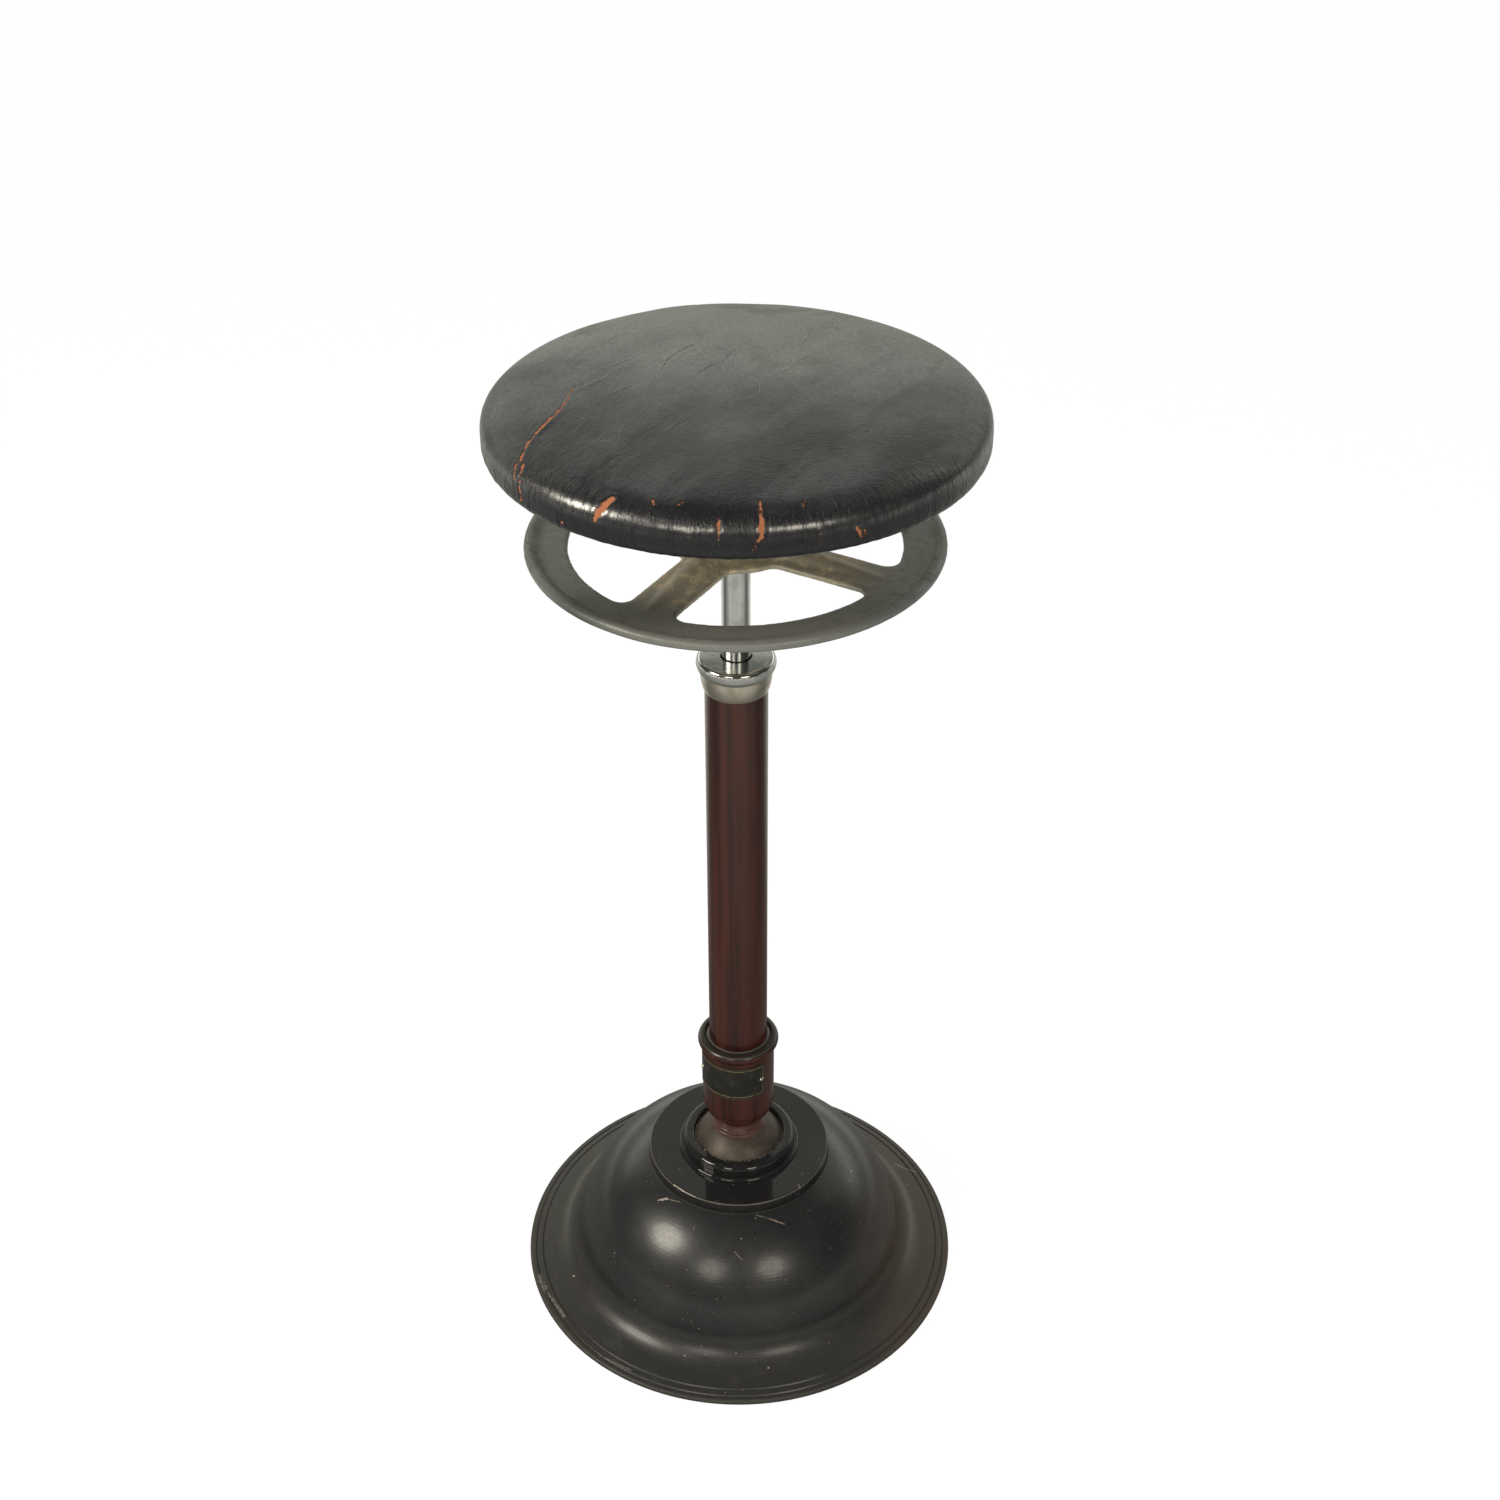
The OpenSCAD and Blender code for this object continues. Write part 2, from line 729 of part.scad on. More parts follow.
// Spindle: screw below, plain shaft through the collar, journal under the seat
module spindle() {
  color(nickel)
    difference() {
      rotate_extrude()
        polygon([
          [0, spindle_end], [thread_r - 1, spindle_end], [thread_r, spindle_end + 1],
          [thread_r, thread_top], [spindle_r, thread_top + 1], [spindle_r, hub_top],
          [journal_r, hub_top], [journal_r, top_washer_z], [top_thread_r, top_washer_z],
          [top_thread_r, spindle_top - 1], [top_thread_r - 1, spindle_top], [0, spindle_top]
        ]);
      translate([-spindle_r - cut, 0, wheel_pin_z])
        rotate([0, 90, 0])
          cylinder(r = wheel_pin_r + fit, h = 2 * spindle_r + 2 * cut);
      translate([-spindle_r - cut, 0, stop_pin_z])
        rotate([0, 90, 0])
          cylinder(r = stop_pin_r + fit, h = 2 * spindle_r + 2 * cut);
    }
}

// Washer that meets the nut at the top of the travel
module stop_washer() {
  color(steel) ring(stop_r, thread_r + fit, stop_z, stop_t);
}

module stop_pin() {
  color(steel)
    translate([-stop_r + 2, 0, stop_pin_z])
      rotate([0, 90, 0])
        cylinder(r = stop_pin_r, h = 2 * stop_r - 4);
}

// One of the wheel's four openings, rounded at its corners
module wheel_opening() {
  offset(r = corner_r, $fn = 64)
    offset(delta = -corner_r)
      difference() {
        intersection() {
          circle(r = opening_r);
          translate([spoke_w / 2, spoke_w / 2]) square(opening_r);
        }
        circle(r = web_disc_r);
      }
}

// Half-round ridge on a spoke, tall at the hub and gone at the rim
module spoke_ridge() {
  run = ridge_out - ridge_in;
  low_in = web_top + ridge_h - ridge_r;
  low_out = web_top - ridge_end_r - 0.2;
  intersection() {
    translate([ridge_in, 0, low_in])
      rotate([0, 90 + atan2(low_in - low_out, run), 0])
        cylinder(r1 = ridge_r, r2 = ridge_end_r, h = norm([run, low_in - low_out]));
    translate([ridge_in, -spoke_w / 2, web_z + web_t / 2])
      cube([run, spoke_w, ridge_h + web_t]);
  }
}

// Cast hand wheel: beaded rim, four ridged spokes and a tall hub
module hand_wheel() {
  bead_c = [wheel_r - wheel_bead, web_z + wheel_bead];
  color(wheel_grey)
    difference() {
      union() {
        difference() {
          rotate_extrude()
            polygon(concat(
              [[0, hub_z], [hub_r - 6, hub_z], [hub_r - 5, hub_z + 1], [hub_r - 5, web_z]],
              arc(bead_c, wheel_bead, -90, 125, 12),
              [[wheel_r - 2.4 * wheel_bead, web_top], [web_disc_r - 6, web_top]],
              arc(
                [web_disc_r - 6, web_top + hub_r * 0.6], hub_r * 0.6,
                270, 200, 6
              ),
              [[hub_r + 0.6, hub_top - 1.6], [hub_r - 1, hub_top], [0, hub_top]]
            ));
          for (i = [0 : 3])
            rotate([0, 0, spoke_turn + 90 * i])
              translate([0, 0, web_z - cut])
                linear_extrude(web_t + 2 * cut)
                  wheel_opening();
        }
        for (i = [0 : 3])
          rotate([0, 0, spoke_turn + 90 * i])
            spoke_ridge();
      }
      translate([0, 0, hub_z - cut])
        cylinder(r = spindle_r + fit, h = hub_h + 2 * cut);
      translate([-hub_r - 5, 0, wheel_pin_z])
        rotate([0, 90, 0])
          cylinder(r = wheel_pin_r + fit, h = 2 * hub_r + 10);
    }
}

// Pin that fixes the wheel on the spindle
module wheel_pin() {
  color(steel)
    translate([-hub_r, 0, wheel_pin_z])
      rotate([0, 90, 0])
        cylinder(r = wheel_pin_r, h = 2 * hub_r);
}

// Round track cut in a race
module race_groove() {
  rotate_extrude()
    translate([race_pitch_r, race_mid])
      circle(r = groove_r);
}

module lower_race() {
  color(steel)
    difference() {
      ring(race_out_r, journal_r + fit, lower_race_z, race_h);
      race_groove();
    }
}

module ball_cage() {
  color(bronze)
    difference() {
      ring(
        race_pitch_r + cage_w, race_pitch_r - cage_w,
        race_mid - cage_t / 2, cage_t
      );
      around(race_balls, race_pitch_r)
        translate([0, 0, race_mid - race_ball_r])
          cylinder(r = race_ball_r + 0.05, h = 2 * race_ball_r);
    }
}

module bearing_balls() {
  color(steel)
    around(race_balls, race_pitch_r)
      translate([0, 0, race_mid])
        sphere(r = race_ball_r);
}

module upper_race() {
  color(steel)
    difference() {
      ring(race_out_r, race_in_r, upper_race_z, race_h);
      race_groove();
    }
}

// Cast plate under the board: flange, ribs, hub with nut well and dust skirt
module seat_plate() {
  color(iron_black)
    difference() {
      union() {
        rotate_extrude()
          polygon([
            [0, plate_hub_z + fit],
            [skirt_in_r, plate_hub_z + fit],
            [skirt_in_r, plate_hub_z - skirt_drop],
            [plate_hub_r, plate_hub_z - skirt_drop],
            [plate_hub_r, plate_hub_z + 6],
            [plate_hub_r - 2, plate_hub_z + 8],
            [plate_hub_r - 2, flange_z - 4],
            [plate_hub_r + 2, flange_z],
            [seat_plate_r - 1, flange_z],
            [seat_plate_r, flange_z + 1],
            [seat_plate_r, board_z],
            [0, board_z]
          ]);
        for (a = [0 : 90 : 270])
          rotate([90, 0, a])
            translate([0, 0, -rib_t / 2])
              linear_extrude(rib_t)
                polygon([
                  [plate_hub_r - 4, plate_hub_z + 5],
                  [plate_hub_r - 1, plate_hub_z + 5],
                  [rib_out, flange_z - 1],
                  [rib_out, flange_z + 1],
                  [plate_hub_r - 4, flange_z + 1]
                ]);
      }
      translate([0, 0, plate_hub_z - cut])
        cylinder(r = journal_r + run_fit, h = seat_plate_h + 2 * cut);
      translate([0, 0, nut_floor_z])
        cylinder(r = nut_well_r, h = board_z - nut_floor_z + cut);
      around(4, screw_at, 45)
        translate([0, 0, flange_z - cut])
          cylinder(r = screw_r + 0.2, h = seat_plate_t + 2 * cut);
    }
}

module top_washer() {
  color(steel) ring(nut_well_r - 1.5, top_thread_r + fit, top_washer_z, top_washer_t);
}

module top_nut() {
  color(steel)
    difference() {
      translate([0, 0, top_nut_z])
        cylinder(r = nut_well_r - 1.5, h = top_nut_h, $fn = 6);
      translate([0, 0, top_nut_z - cut])
        cylinder(r = top_thread_r + fit, h = top_nut_h + 2 * cut);
    }
}

module seat_screws() {
  color(steel)
    around(4, screw_at, 45)
      translate([0, 0, flange_z])
        rotate_extrude()
          polygon([
            [0, -2.6], [screw_head_r * 0.5, -2.3], [screw_head_r * 0.85, -1.3], [screw_head_r, 0],
            [screw_r, 0], [screw_r, seat_plate_t + screw_in - 4], [0, seat_plate_t + screw_in]
          ]);
}

module seat_board() {
  color("#8a5a35")
    translate([0, 0, board_z])
      rotate_extrude()
        polygon(concat(
          [[0, 0]],
          arc([board_r - 2, 2], 2, -90, 0, 4),
          arc([board_r - 3, board_t - 3], 3, 0, 90, 4),
          [[0, board_t]]
        ));
}

// Outline of the cushion drawn in by d, from under the board round to the crown, which is
// a rounded oblong curve: (r / half width)^crown_power + (z / rise)^side_power = 1
function cushion(d, from_r) = concat(
  [[from_r, seat_z + d]],
  arc([seat_r - lower_round, seat_z + lower_round], lower_round - d, -90, 0, 8),
  [
    for (a = [0:5:90])
      [
        (seat_r - d) * pow(cos(a), 2 / crown_power),
        widest_z + (seat_rise - d) * pow(sin(a), 2 / side_power)
      ]
  ]
);

module seat_padding() {
  color("#b49a72")
    rotate_extrude()
      difference() {
        polygon(concat(
          cushion(leather_t + fit, board_r - 2),
          [[0, board_z + board_t + fit], [board_r - 2, board_z + board_t + fit]]
        ));
        translate([0, seat_z - cut])
          square([board_r + fit, board_t + leather_t + cut + fit]);
      }
}

module seat_leather() {
  color(hide_black)
    rotate_extrude()
      difference() {
        polygon(concat(cushion(0, leather_in_r), [[0, board_z + board_t], [leather_in_r, board_z]]));
        polygon(concat(
          [[0, board_z], [board_r - 2, board_z]],
          cushion(leather_t, board_r - 2)
        ));
      }
}

module seat_tacks() {
  color("#2a2622")
    around(tack_count, tack_at)
      translate([0, 0, seat_z])
        rotate_extrude()
          polygon([
            [0, -tack_head_h], [tack_head_r * 0.6, -tack_head_h * 0.8], [tack_head_r, 0],
            [tack_r, 0], [tack_r, tack_len - 2], [0, tack_len]
          ]);
}

base_bell();
floor_ring();
ball_cup();
cup_bolts();
cover_disc();
retainer_ring();
ball_liner();
column_socket();
socket_plate();
plate_pins();
drawbolt();
spring_washer();
drawbolt_nut();
cotter_pin();
draw_spring();
column_tube();
spindle_nut();
guide_bush();
ferrule();
collet();
knurled_collar();
spindle();
stop_washer();
stop_pin();
hand_wheel();
wheel_pin();
lower_race();
ball_cage();
bearing_balls();
upper_race();
seat_plate();
top_washer();
top_nut();
seat_screws();
seat_board();
seat_padding();
seat_leather();
seat_tacks();
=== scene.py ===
"""Dresses the packed frame of an old dental stool: hide, cast wheel, paints and bare metals."""
import math

import bmesh
import bpy
import numpy as np
from bpy.props import FloatProperty, FloatVectorProperty, IntProperty, PointerProperty
from mathutils import Matrix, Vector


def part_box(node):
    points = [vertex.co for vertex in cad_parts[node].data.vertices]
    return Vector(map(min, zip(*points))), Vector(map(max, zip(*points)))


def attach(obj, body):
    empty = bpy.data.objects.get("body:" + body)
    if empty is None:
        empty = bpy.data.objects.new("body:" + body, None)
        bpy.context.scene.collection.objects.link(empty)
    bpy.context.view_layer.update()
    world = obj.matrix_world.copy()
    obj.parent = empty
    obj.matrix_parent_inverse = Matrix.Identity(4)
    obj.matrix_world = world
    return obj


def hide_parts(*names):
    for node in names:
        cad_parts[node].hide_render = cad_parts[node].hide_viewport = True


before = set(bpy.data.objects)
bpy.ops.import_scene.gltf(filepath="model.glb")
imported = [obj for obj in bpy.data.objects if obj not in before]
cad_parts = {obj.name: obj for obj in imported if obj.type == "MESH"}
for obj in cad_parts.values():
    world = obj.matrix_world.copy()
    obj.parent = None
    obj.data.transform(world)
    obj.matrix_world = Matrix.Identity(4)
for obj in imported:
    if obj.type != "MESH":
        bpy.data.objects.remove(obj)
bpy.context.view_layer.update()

bl_info = {
    "name": "Dental Stool",
    "version": (1, 0, 0),
    "blender": (4, 5, 0),
    "location": "3D View > Sidebar > Stool",
    "description": "Stretched hide, cast hand wheel, worn paints and metals of a dental stool",
    "category": "Object",
}

MM = 0.001


# Sizes and colours that a user would change

def a_length(name, default, description):
    """Setting for a length in metres."""
    return FloatProperty(name=name, description=description, default=default, unit="LENGTH")


def an_angle(name, degrees, description):
    """Setting for an angle, given in degrees."""
    return FloatProperty(
        name=name, description=description, default=math.radians(degrees), subtype="ANGLE")


def a_number(name, default, description):
    """Setting for a plain number."""
    return FloatProperty(name=name, description=description, default=default)


def a_count(name, default, description):
    """Setting for a whole number."""
    return IntProperty(name=name, description=description, default=default)


def a_colour(name, default, description):
    """Setting for a colour."""
    return FloatVectorProperty(
        name=name, description=description, default=default, size=3, subtype="COLOR")


class StoolStudio(bpy.types.PropertyGroup):
    """Camera, lamps and floor"""

    camera_away: a_length(
        "Camera distance", 1.2626, "From the stool's axis to the camera, along the floor")
    camera_height: a_length("Camera height", 1.3501, "Height of the camera above the floor")
    camera_pitch: an_angle("Camera pitch", 34.22, "How far the camera looks down")
    camera_roll: an_angle("Camera roll", -0.31, "Small turn of the camera about its own axis")
    lens: a_number("Lens", 51.92, "Focal length on a 36 mm frame")
    shift: a_number("Shift", 0.00887, "Sideways shift of the frame")
    lamp_power: FloatProperty(
        name="Lamp power", description="Power of the main soft lamp; the others follow it",
        default=21.4, unit="POWER")
    lamp_colour: a_colour("Lamp colour", (1.0, 0.93, 0.80), "Warm white of all the lamps")
    fill: a_number("Fill", 0.5, "Even light from all round")


class StoolPaint(bpy.types.PropertyGroup):
    """Colours of the painted iron"""

    bell: a_colour("Bell black", (0.0140, 0.0155, 0.0172), "Old satin black of the bell base")
    bell_brown: a_colour(
        "Bell brown", (0.046, 0.041, 0.033), "Brown that shows through where the black is thin")
    gloss: a_colour("Gloss black", (0.014, 0.0142, 0.0145), "Cover disc and retaining ring")
    mahogany: a_colour("Mahogany", (0.052, 0.0146, 0.0102), "Red-brown enamel of the column")
    mahogany_dark: a_colour(
        "Dark streaks", (0.025, 0.0086, 0.0070), "Nearly black streaks in the enamel")
    primer: a_colour("Chips", (0.30, 0.20, 0.15), "Pale undercoat where paint has chipped off")
    gilt: a_colour("Gilt", (0.38, 0.30, 0.15), "Border line of the plate")


class StoolMetal(bpy.types.PropertyGroup):
    """Colours and sizes of the bare metals"""

    nickel: a_colour("Nickel", (0.64, 0.66, 0.655), "Polished nickel plating")
    old_nickel: a_colour(
        "Dull nickel", (0.62, 0.585, 0.50), "Duller, warmer nickel of the ferrule")
    wheel: a_colour("Wheel grey", (0.186, 0.203, 0.188), "Dull cast metal of the hand wheel")
    brass: a_colour(
        "Brassy tint", (0.62, 0.53, 0.35), "Yellowish metal on the spokes near the hub")
    steel: a_colour("Steel", (0.36, 0.355, 0.34), "Plain steel of the bolts and races")
    wheel_cell: a_length(
        "Wheel cell", 1.5 * MM, "Size of the cells with which the casting is made soft")
    wheel_soften: a_count("Wheel softening", 7, "Rounds of smoothing on the cast wheel")
    knurl_teeth: a_count("Knurl teeth", 128, "Teeth round the collar's knurled band")
    knurl_depth: a_length("Knurl depth", 0.28 * MM, "Height of the knurl's diamonds")


class StoolHide(bpy.types.PropertyGroup):
    """Sizes and colours of the stuffed seat"""

    black: a_colour("Hide black", (0.0062, 0.0068, 0.0102), "Dyed face of the hide")
    # the rubbed top's grey also carries a painted sheen of the backdrop
    faded: a_colour("Hide faded", (0.172, 0.181, 0.166), "Greenish grey of the rubbed top")
    tan: a_colour(
        "Bare hide", (0.53, 0.19, 0.075), "Undyed hide where the face has split or peeled")
    side: a_length("Side", 13.4 * MM, "Height of the seat's widest level above its underside")
    crown_power: a_number(
        "Crown power", 5.0, "How flat the crown is: 2 is an ellipse, more is flatter")
    side_power: a_number(
        "Shoulder power", 3.0, "How upright the shoulder is: more is squarer")
    lower: a_length("Lower edge", 8 * MM, "Radius of the seat's rounded lower edge")
    thickness: a_length("Hide thickness", 2.0 * MM, "Thickness of the leather")
    lap: a_length("Lap", 14 * MM, "How far the hide is turned in under the board")
    sectors: a_count("Sectors", 720, "Points round the seat")
    pressure: a_number(
        "Stuffing pressure", 4.0, "Pressure that stretches the hide in the simulation")
    slack: a_length(
        "Slack", 0.35 * MM, "Most that the stretched hide may stand off its outline")


SETTINGS = {
    "stool_studio": StoolStudio, "stool_paint": StoolPaint,
    "stool_metal": StoolMetal, "stool_hide": StoolHide,
}


# Meshes as whole arrays of points

def arc(centre, radius, start, end, count):
    """Points at even angles, in degrees, on a circle from start to end."""
    turn = np.radians(np.linspace(start, end, count))
    return np.stack([centre[0] + radius * np.cos(turn), centre[1] + radius * np.sin(turn)], -1)


def round_axis(r, turn, z):
    """Points at the distance r from the axis, the angle turn about it and the height z."""
    return np.stack(np.broadcast_arrays(r * np.cos(turn), r * np.sin(turn), z), -1)


def length_along(line):
    """Distance from a line's first point to each of its points, along the line."""
    return np.concatenate([[0.0], np.cumsum(np.linalg.norm(np.diff(line, axis=0), axis=1))])


def all_round(sectors):
    """Even angles all the way round."""
    return np.arange(sectors) * 2 * np.pi / sectors


def turned(profile, sectors):
    """Rings of points: each profile point (r, z) carried round the axis."""
    return round_axis(profile[:, 0, None], all_round(sectors), profile[:, 1, None])


def skin(rings, first=None, last=None, joined=False):
    """Joins rings of points into one surface.

    Point j of ring i is number i * n + j. Each face joins points j and j + 1 of rings
    i and i + 1, counted round. first and last are tips that close the ends with a fan,
    and joined ties the last ring back to the first.
    """
    rows, n = rings.shape[:2]
    here = np.arange(n)
    there = np.roll(here, -1)
    start = (np.arange(rows if joined else rows - 1) * n)[:, None]
    after = (start + n) % (rows * n)
    faces = np.stack(
        [start + here, after + here, after + there, start + there], -1).reshape(-1, 4).tolist()
    points = [rings.reshape(-1, 3)]
    total = rows * n
    for tip, ring in ((first, 0), (last, total - n)):
        if tip is not None:
            a, b = (here, there) if ring == 0 else (there, here)
            faces += np.stack([np.full(n, total), ring + a, ring + b], -1).tolist()
            points.append(np.array([tip]))
            total += 1
    return np.concatenate(points), faces


def new_object(name, points, faces):
    """Links an object with a new mesh of the points and faces to the scene."""
    mesh = bpy.data.meshes.new(name)
    mesh.from_pydata(points, [], faces)
    mesh.update()
    made = bpy.data.objects.new(name, mesh)
    bpy.context.scene.collection.objects.link(made)
    return made


def put_piece(name, points, faces, material, body, stands_for=()):
    """Makes a smooth-shaded piece of the points and faces, and hangs it on its body."""
    piece = new_object(name, points.tolist(), faces)
    piece.data.shade_smooth()
    piece.data.materials.append(material)
    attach(piece, body)
    if stands_for:
        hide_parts(*stands_for)
    return piece


def read_points(mesh):
    """Places of a mesh's points as one array."""
    places = np.empty(len(mesh.vertices) * 3)
    mesh.vertices.foreach_get("co", places)
    return places.reshape(-1, 3)


def ripples(points, wave, seed, count=9):
    """Smooth unevenness between about -1 and 1: the mean of plane sine waves whose
    directions and phases come from a seeded generator, each about wave metres long."""
    dice = np.random.default_rng(seed)
    way = dice.normal(size=(count, 3))
    way /= np.linalg.norm(way, axis=1)[:, None]
    way *= (2 * np.pi / wave * dice.uniform(0.6, 1.5, count))[:, None]
    return np.sin(points @ way.T + dice.uniform(0, 2 * np.pi, count)).mean(-1) * math.sqrt(count) / 2


def hump(off, width):
    """Smooth hump: 1 where off is 0, fading out over about the width on each side."""
    return np.exp(-(off / width) ** 2)


def foot_on(points, a, b):
    """Share t of the way from a to b of the spot nearest to each point, and each point's
    place as seen from that spot."""
    line = b - a
    t = np.clip((points - a) @ line / max(line @ line, 1e-12), 0, 1)
    return t, points - a - t[:, None] * line


def nearest_on(points, path, widths):
    """Least of distance minus half width from points to a path of straight pieces, where
    the half width changes evenly between the path's points."""
    best = np.full(len(points), 1.0)
    for a, b, wide_a, wide_b in zip(path[:-1], path[1:], widths[:-1], widths[1:]):
        t, off = foot_on(points, a, b)
        best = np.minimum(best, np.linalg.norm(off, axis=1) - (wide_a + (wide_b - wide_a) * t))
    return best


def beside(points, path):
    """Distance from points to a path of straight pieces, with a minus sign on the right of
    the path seen from above, and the share of the path's length at which it is nearest."""
    along = length_along(path)
    best, side, share = np.full(len(points), 1.0), np.ones(len(points)), np.zeros(len(points))
    for a, b, start in zip(path[:-1], path[1:], along[:-1]):
        line = b - a
        t, off = foot_on(points, a, b)
        far = np.linalg.norm(off, axis=1)
        near = far < best
        best = np.where(near, far, best)
        side = np.where(near, np.sign(line[0] * off[:, 1] - line[1] * off[:, 0]), side)
        share = np.where(near, (start + t * np.linalg.norm(line)) / along[-1], share)
    return best * side, share


# Shader nodes

def _sign(operation, swapped=False):
    """Method that joins two values by a Math node."""
    if swapped:
        return lambda self, other: self.nodes.calc(operation, other, self)
    return lambda self, other: self.nodes.calc(operation, self, other)


class Value:
    """An output of a node. The usual signs between values make Math nodes."""

    def __init__(self, nodes, socket):
        self.nodes = nodes
        self.socket = socket

    __add__, __radd__ = _sign("ADD"), _sign("ADD", True)
    __sub__, __rsub__ = _sign("SUBTRACT"), _sign("SUBTRACT", True)
    __mul__, __rmul__ = _sign("MULTIPLY"), _sign("MULTIPLY", True)
    __truediv__ = _sign("DIVIDE")

    def __abs__(self):
        return self.nodes.calc("ABSOLUTE", self)


class Nodes:
    """Short ways to add nodes to one tree and to join them."""

    def __init__(self, tree):
        self.tree = tree

    def feed(self, socket, value):
        """Links a value to a socket, or sets the socket's own value; None leaves it alone."""
        if isinstance(value, Value):
            self.tree.links.new(value.socket, socket)
        elif hasattr(value, "__len__") and socket.type == "RGBA" and len(value) == 3:
            socket.default_value = (*value, 1.0)
        elif value is not None:
            socket.default_value = value

    def add(self, kind, inputs=(), **settings):
        """Adds a node; inputs are pairs of a socket's name or number and what feeds it."""
        made = self.tree.nodes.new(kind)
        for name, value in settings.items():
            setattr(made, name, value)
        for place, value in inputs:
            self.feed(made.inputs[place], value)
        return made

    def value(self, kind, inputs=(), output=0, **settings):
        """Adds a node and returns one of its outputs."""
        return Value(self, self.add(kind, inputs, **settings).outputs[output])

    def calc(self, operation, *values):
        """Math node."""
        return self.value("ShaderNodeMath", enumerate(values), operation=operation)

    def most(self, a, b):
        """The larger of two values."""
        return self.calc("MAXIMUM", a, b)

    def hypot(self, a, b):
        """Length of the side opposite the right angle between a and b."""
        return self.calc("SQRT", a * a + b * b)

    def vector(self, operation, *values):
        """Vector Math node."""
        output = "Value" if operation in ("LENGTH", "DOT_PRODUCT") else 0
        return self.value("ShaderNodeVectorMath", enumerate(values), output, operation=operation)

    def scaled(self, vector, by):
        """Vector times a number."""
        return self.vector("SCALE", vector, None, None, by)

    def step(self, value, low, high, to_low=0.0, to_high=1.0):
        """Soft step of value from low to high."""
        return self.value("ShaderNodeMapRange", enumerate((value, low, high, to_low, to_high)),
                          interpolation_type="SMOOTHSTEP")

    def blend(self, share, a, b):
        """Colour that goes from a to b."""
        return self.value("ShaderNodeMix", ((0, share), (6, a), (7, b)), 2, data_type="RGBA")

    def over(self, colour, *coats):
        """Colour with coats laid over it one after another, each a share and a colour."""
        for share, coat in coats:
            colour = self.blend(share, colour, coat)
        return colour

    def noise(self, vector, scale, detail=3.0, rough=0.5, twist=0.0):
        """Fractal noise between 0 and 1."""
        return self.value(
            "ShaderNodeTexNoise",
            (("Vector", vector), ("Scale", scale), ("Detail", detail),
             ("Roughness", rough), ("Distortion", twist)))

    def cells(self, vector, scale, feature="F1"):
        """Distance in a cell pattern."""
        return self.value("ShaderNodeTexVoronoi", (("Vector", vector), ("Scale", scale)),
                          "Distance", feature=feature)

    def place(self, vector, scale, turn=(0, 0, 0), kind="POINT"):
        """Point after a scale and a turn."""
        return self.value("ShaderNodeMapping", (("Vector", vector), ("Scale", scale),
                                                ("Rotation", turn)), vector_type=kind)

    def point(self):
        """Point of the object in its own coordinates, in metres."""
        return self.value("ShaderNodeTexCoord", output="Object")

    def parts(self, vector):
        """The three coordinates of a vector."""
        made = self.add("ShaderNodeSeparateXYZ", ((0, vector),))
        return [Value(self, socket) for socket in made.outputs]

    def rays(self):
        """Whether the camera sees the point, and whether gloss or glass shows it."""
        camera, glossy, through = (
            self.value("ShaderNodeLightPath", output=f"Is {kind} Ray")
            for kind in ("Camera", "Glossy", "Transmission"))
        return camera, self.most(glossy, through)

    def surface(self, colour, roughness, height, **constants):
        """Ends the tree with a Principled BSDF, bumped by a height in metres; constants are
        set on its own sockets."""
        normal = self.value(
            "ShaderNodeBump", (("Strength", 1.0), ("Distance", 1.0), ("Height", height)))
        inputs = {"Base Color": colour, "Roughness": roughness, "Normal": normal}
        for key, value in constants.items():
            inputs[key.replace("_", " ")] = value
        shader = self.value("ShaderNodeBsdfPrincipled", inputs.items())
        self.add("ShaderNodeOutputMaterial", (("Surface", shader),))


def finish(name, build, *values):
    """Makes a material whose tree is filled in by a function of the tree's nodes, the
    object's point and the given values."""
    material = bpy.data.materials.new(name)
    material.use_nodes = True
    material.node_tree.nodes.clear()
    n = Nodes(material.node_tree)
    build(n, n.point(), *values)
    return material


def dress(nodes, name, build, *values):
    """Gives CAD nodes a new finish."""
    material = finish(name, build, *values)
    for node in nodes.split():
        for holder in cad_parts[node].material_slots:
            holder.material = material


def shared(output="Mask", **defaults):
    """Turns a function into an effect that materials share: a node group, built the first
    time that it is placed, whose inputs are a Vector and the named defaults. The function
    gets the group's nodes and inputs and returns its output; its name then places the
    group in a tree with that tree's own values."""
    def wrap(build):
        """Gives the function that places the group which build describes."""
        name = build.__name__.replace("_", " ").title()

        def make():
            """Builds the group with its named inputs and output."""
            tree = bpy.data.node_groups.new(name, "ShaderNodeTree")
            for label, default in {"Vector": (0.0, 0.0, 0.0), **defaults}.items():
                kind = "NodeSocketVector" if isinstance(default, tuple) else "NodeSocketFloat"
                socket = tree.interface.new_socket(name=label, in_out="INPUT", socket_type=kind)
                socket.default_value = default
            tree.interface.new_socket(
                name=output, in_out="OUTPUT", socket_type="NodeSocketFloat")
            n = Nodes(tree)
            inputs = n.add("NodeGroupInput").outputs[:len(defaults) + 1]
            result = build(n, *(Value(n, socket) for socket in inputs))
            n.add("NodeGroupOutput", ((0, result),))
            return tree

        def place(n, vector, *values):
            tree = bpy.data.node_groups.get(name) or make()
            return n.value("ShaderNodeGroup", enumerate((vector, *values)), node_tree=tree)

        place.__doc__ = build.__doc__
        return place
    return wrap


@shared(Scale=20.0, From=0.45, To=0.65)
def blotches(n, vector, scale, low, high):
    """Soft-edged patches: fractal noise pushed through a soft step."""
    return n.step(n.noise(vector, scale, 5.0, 0.6, 0.4), low, high)


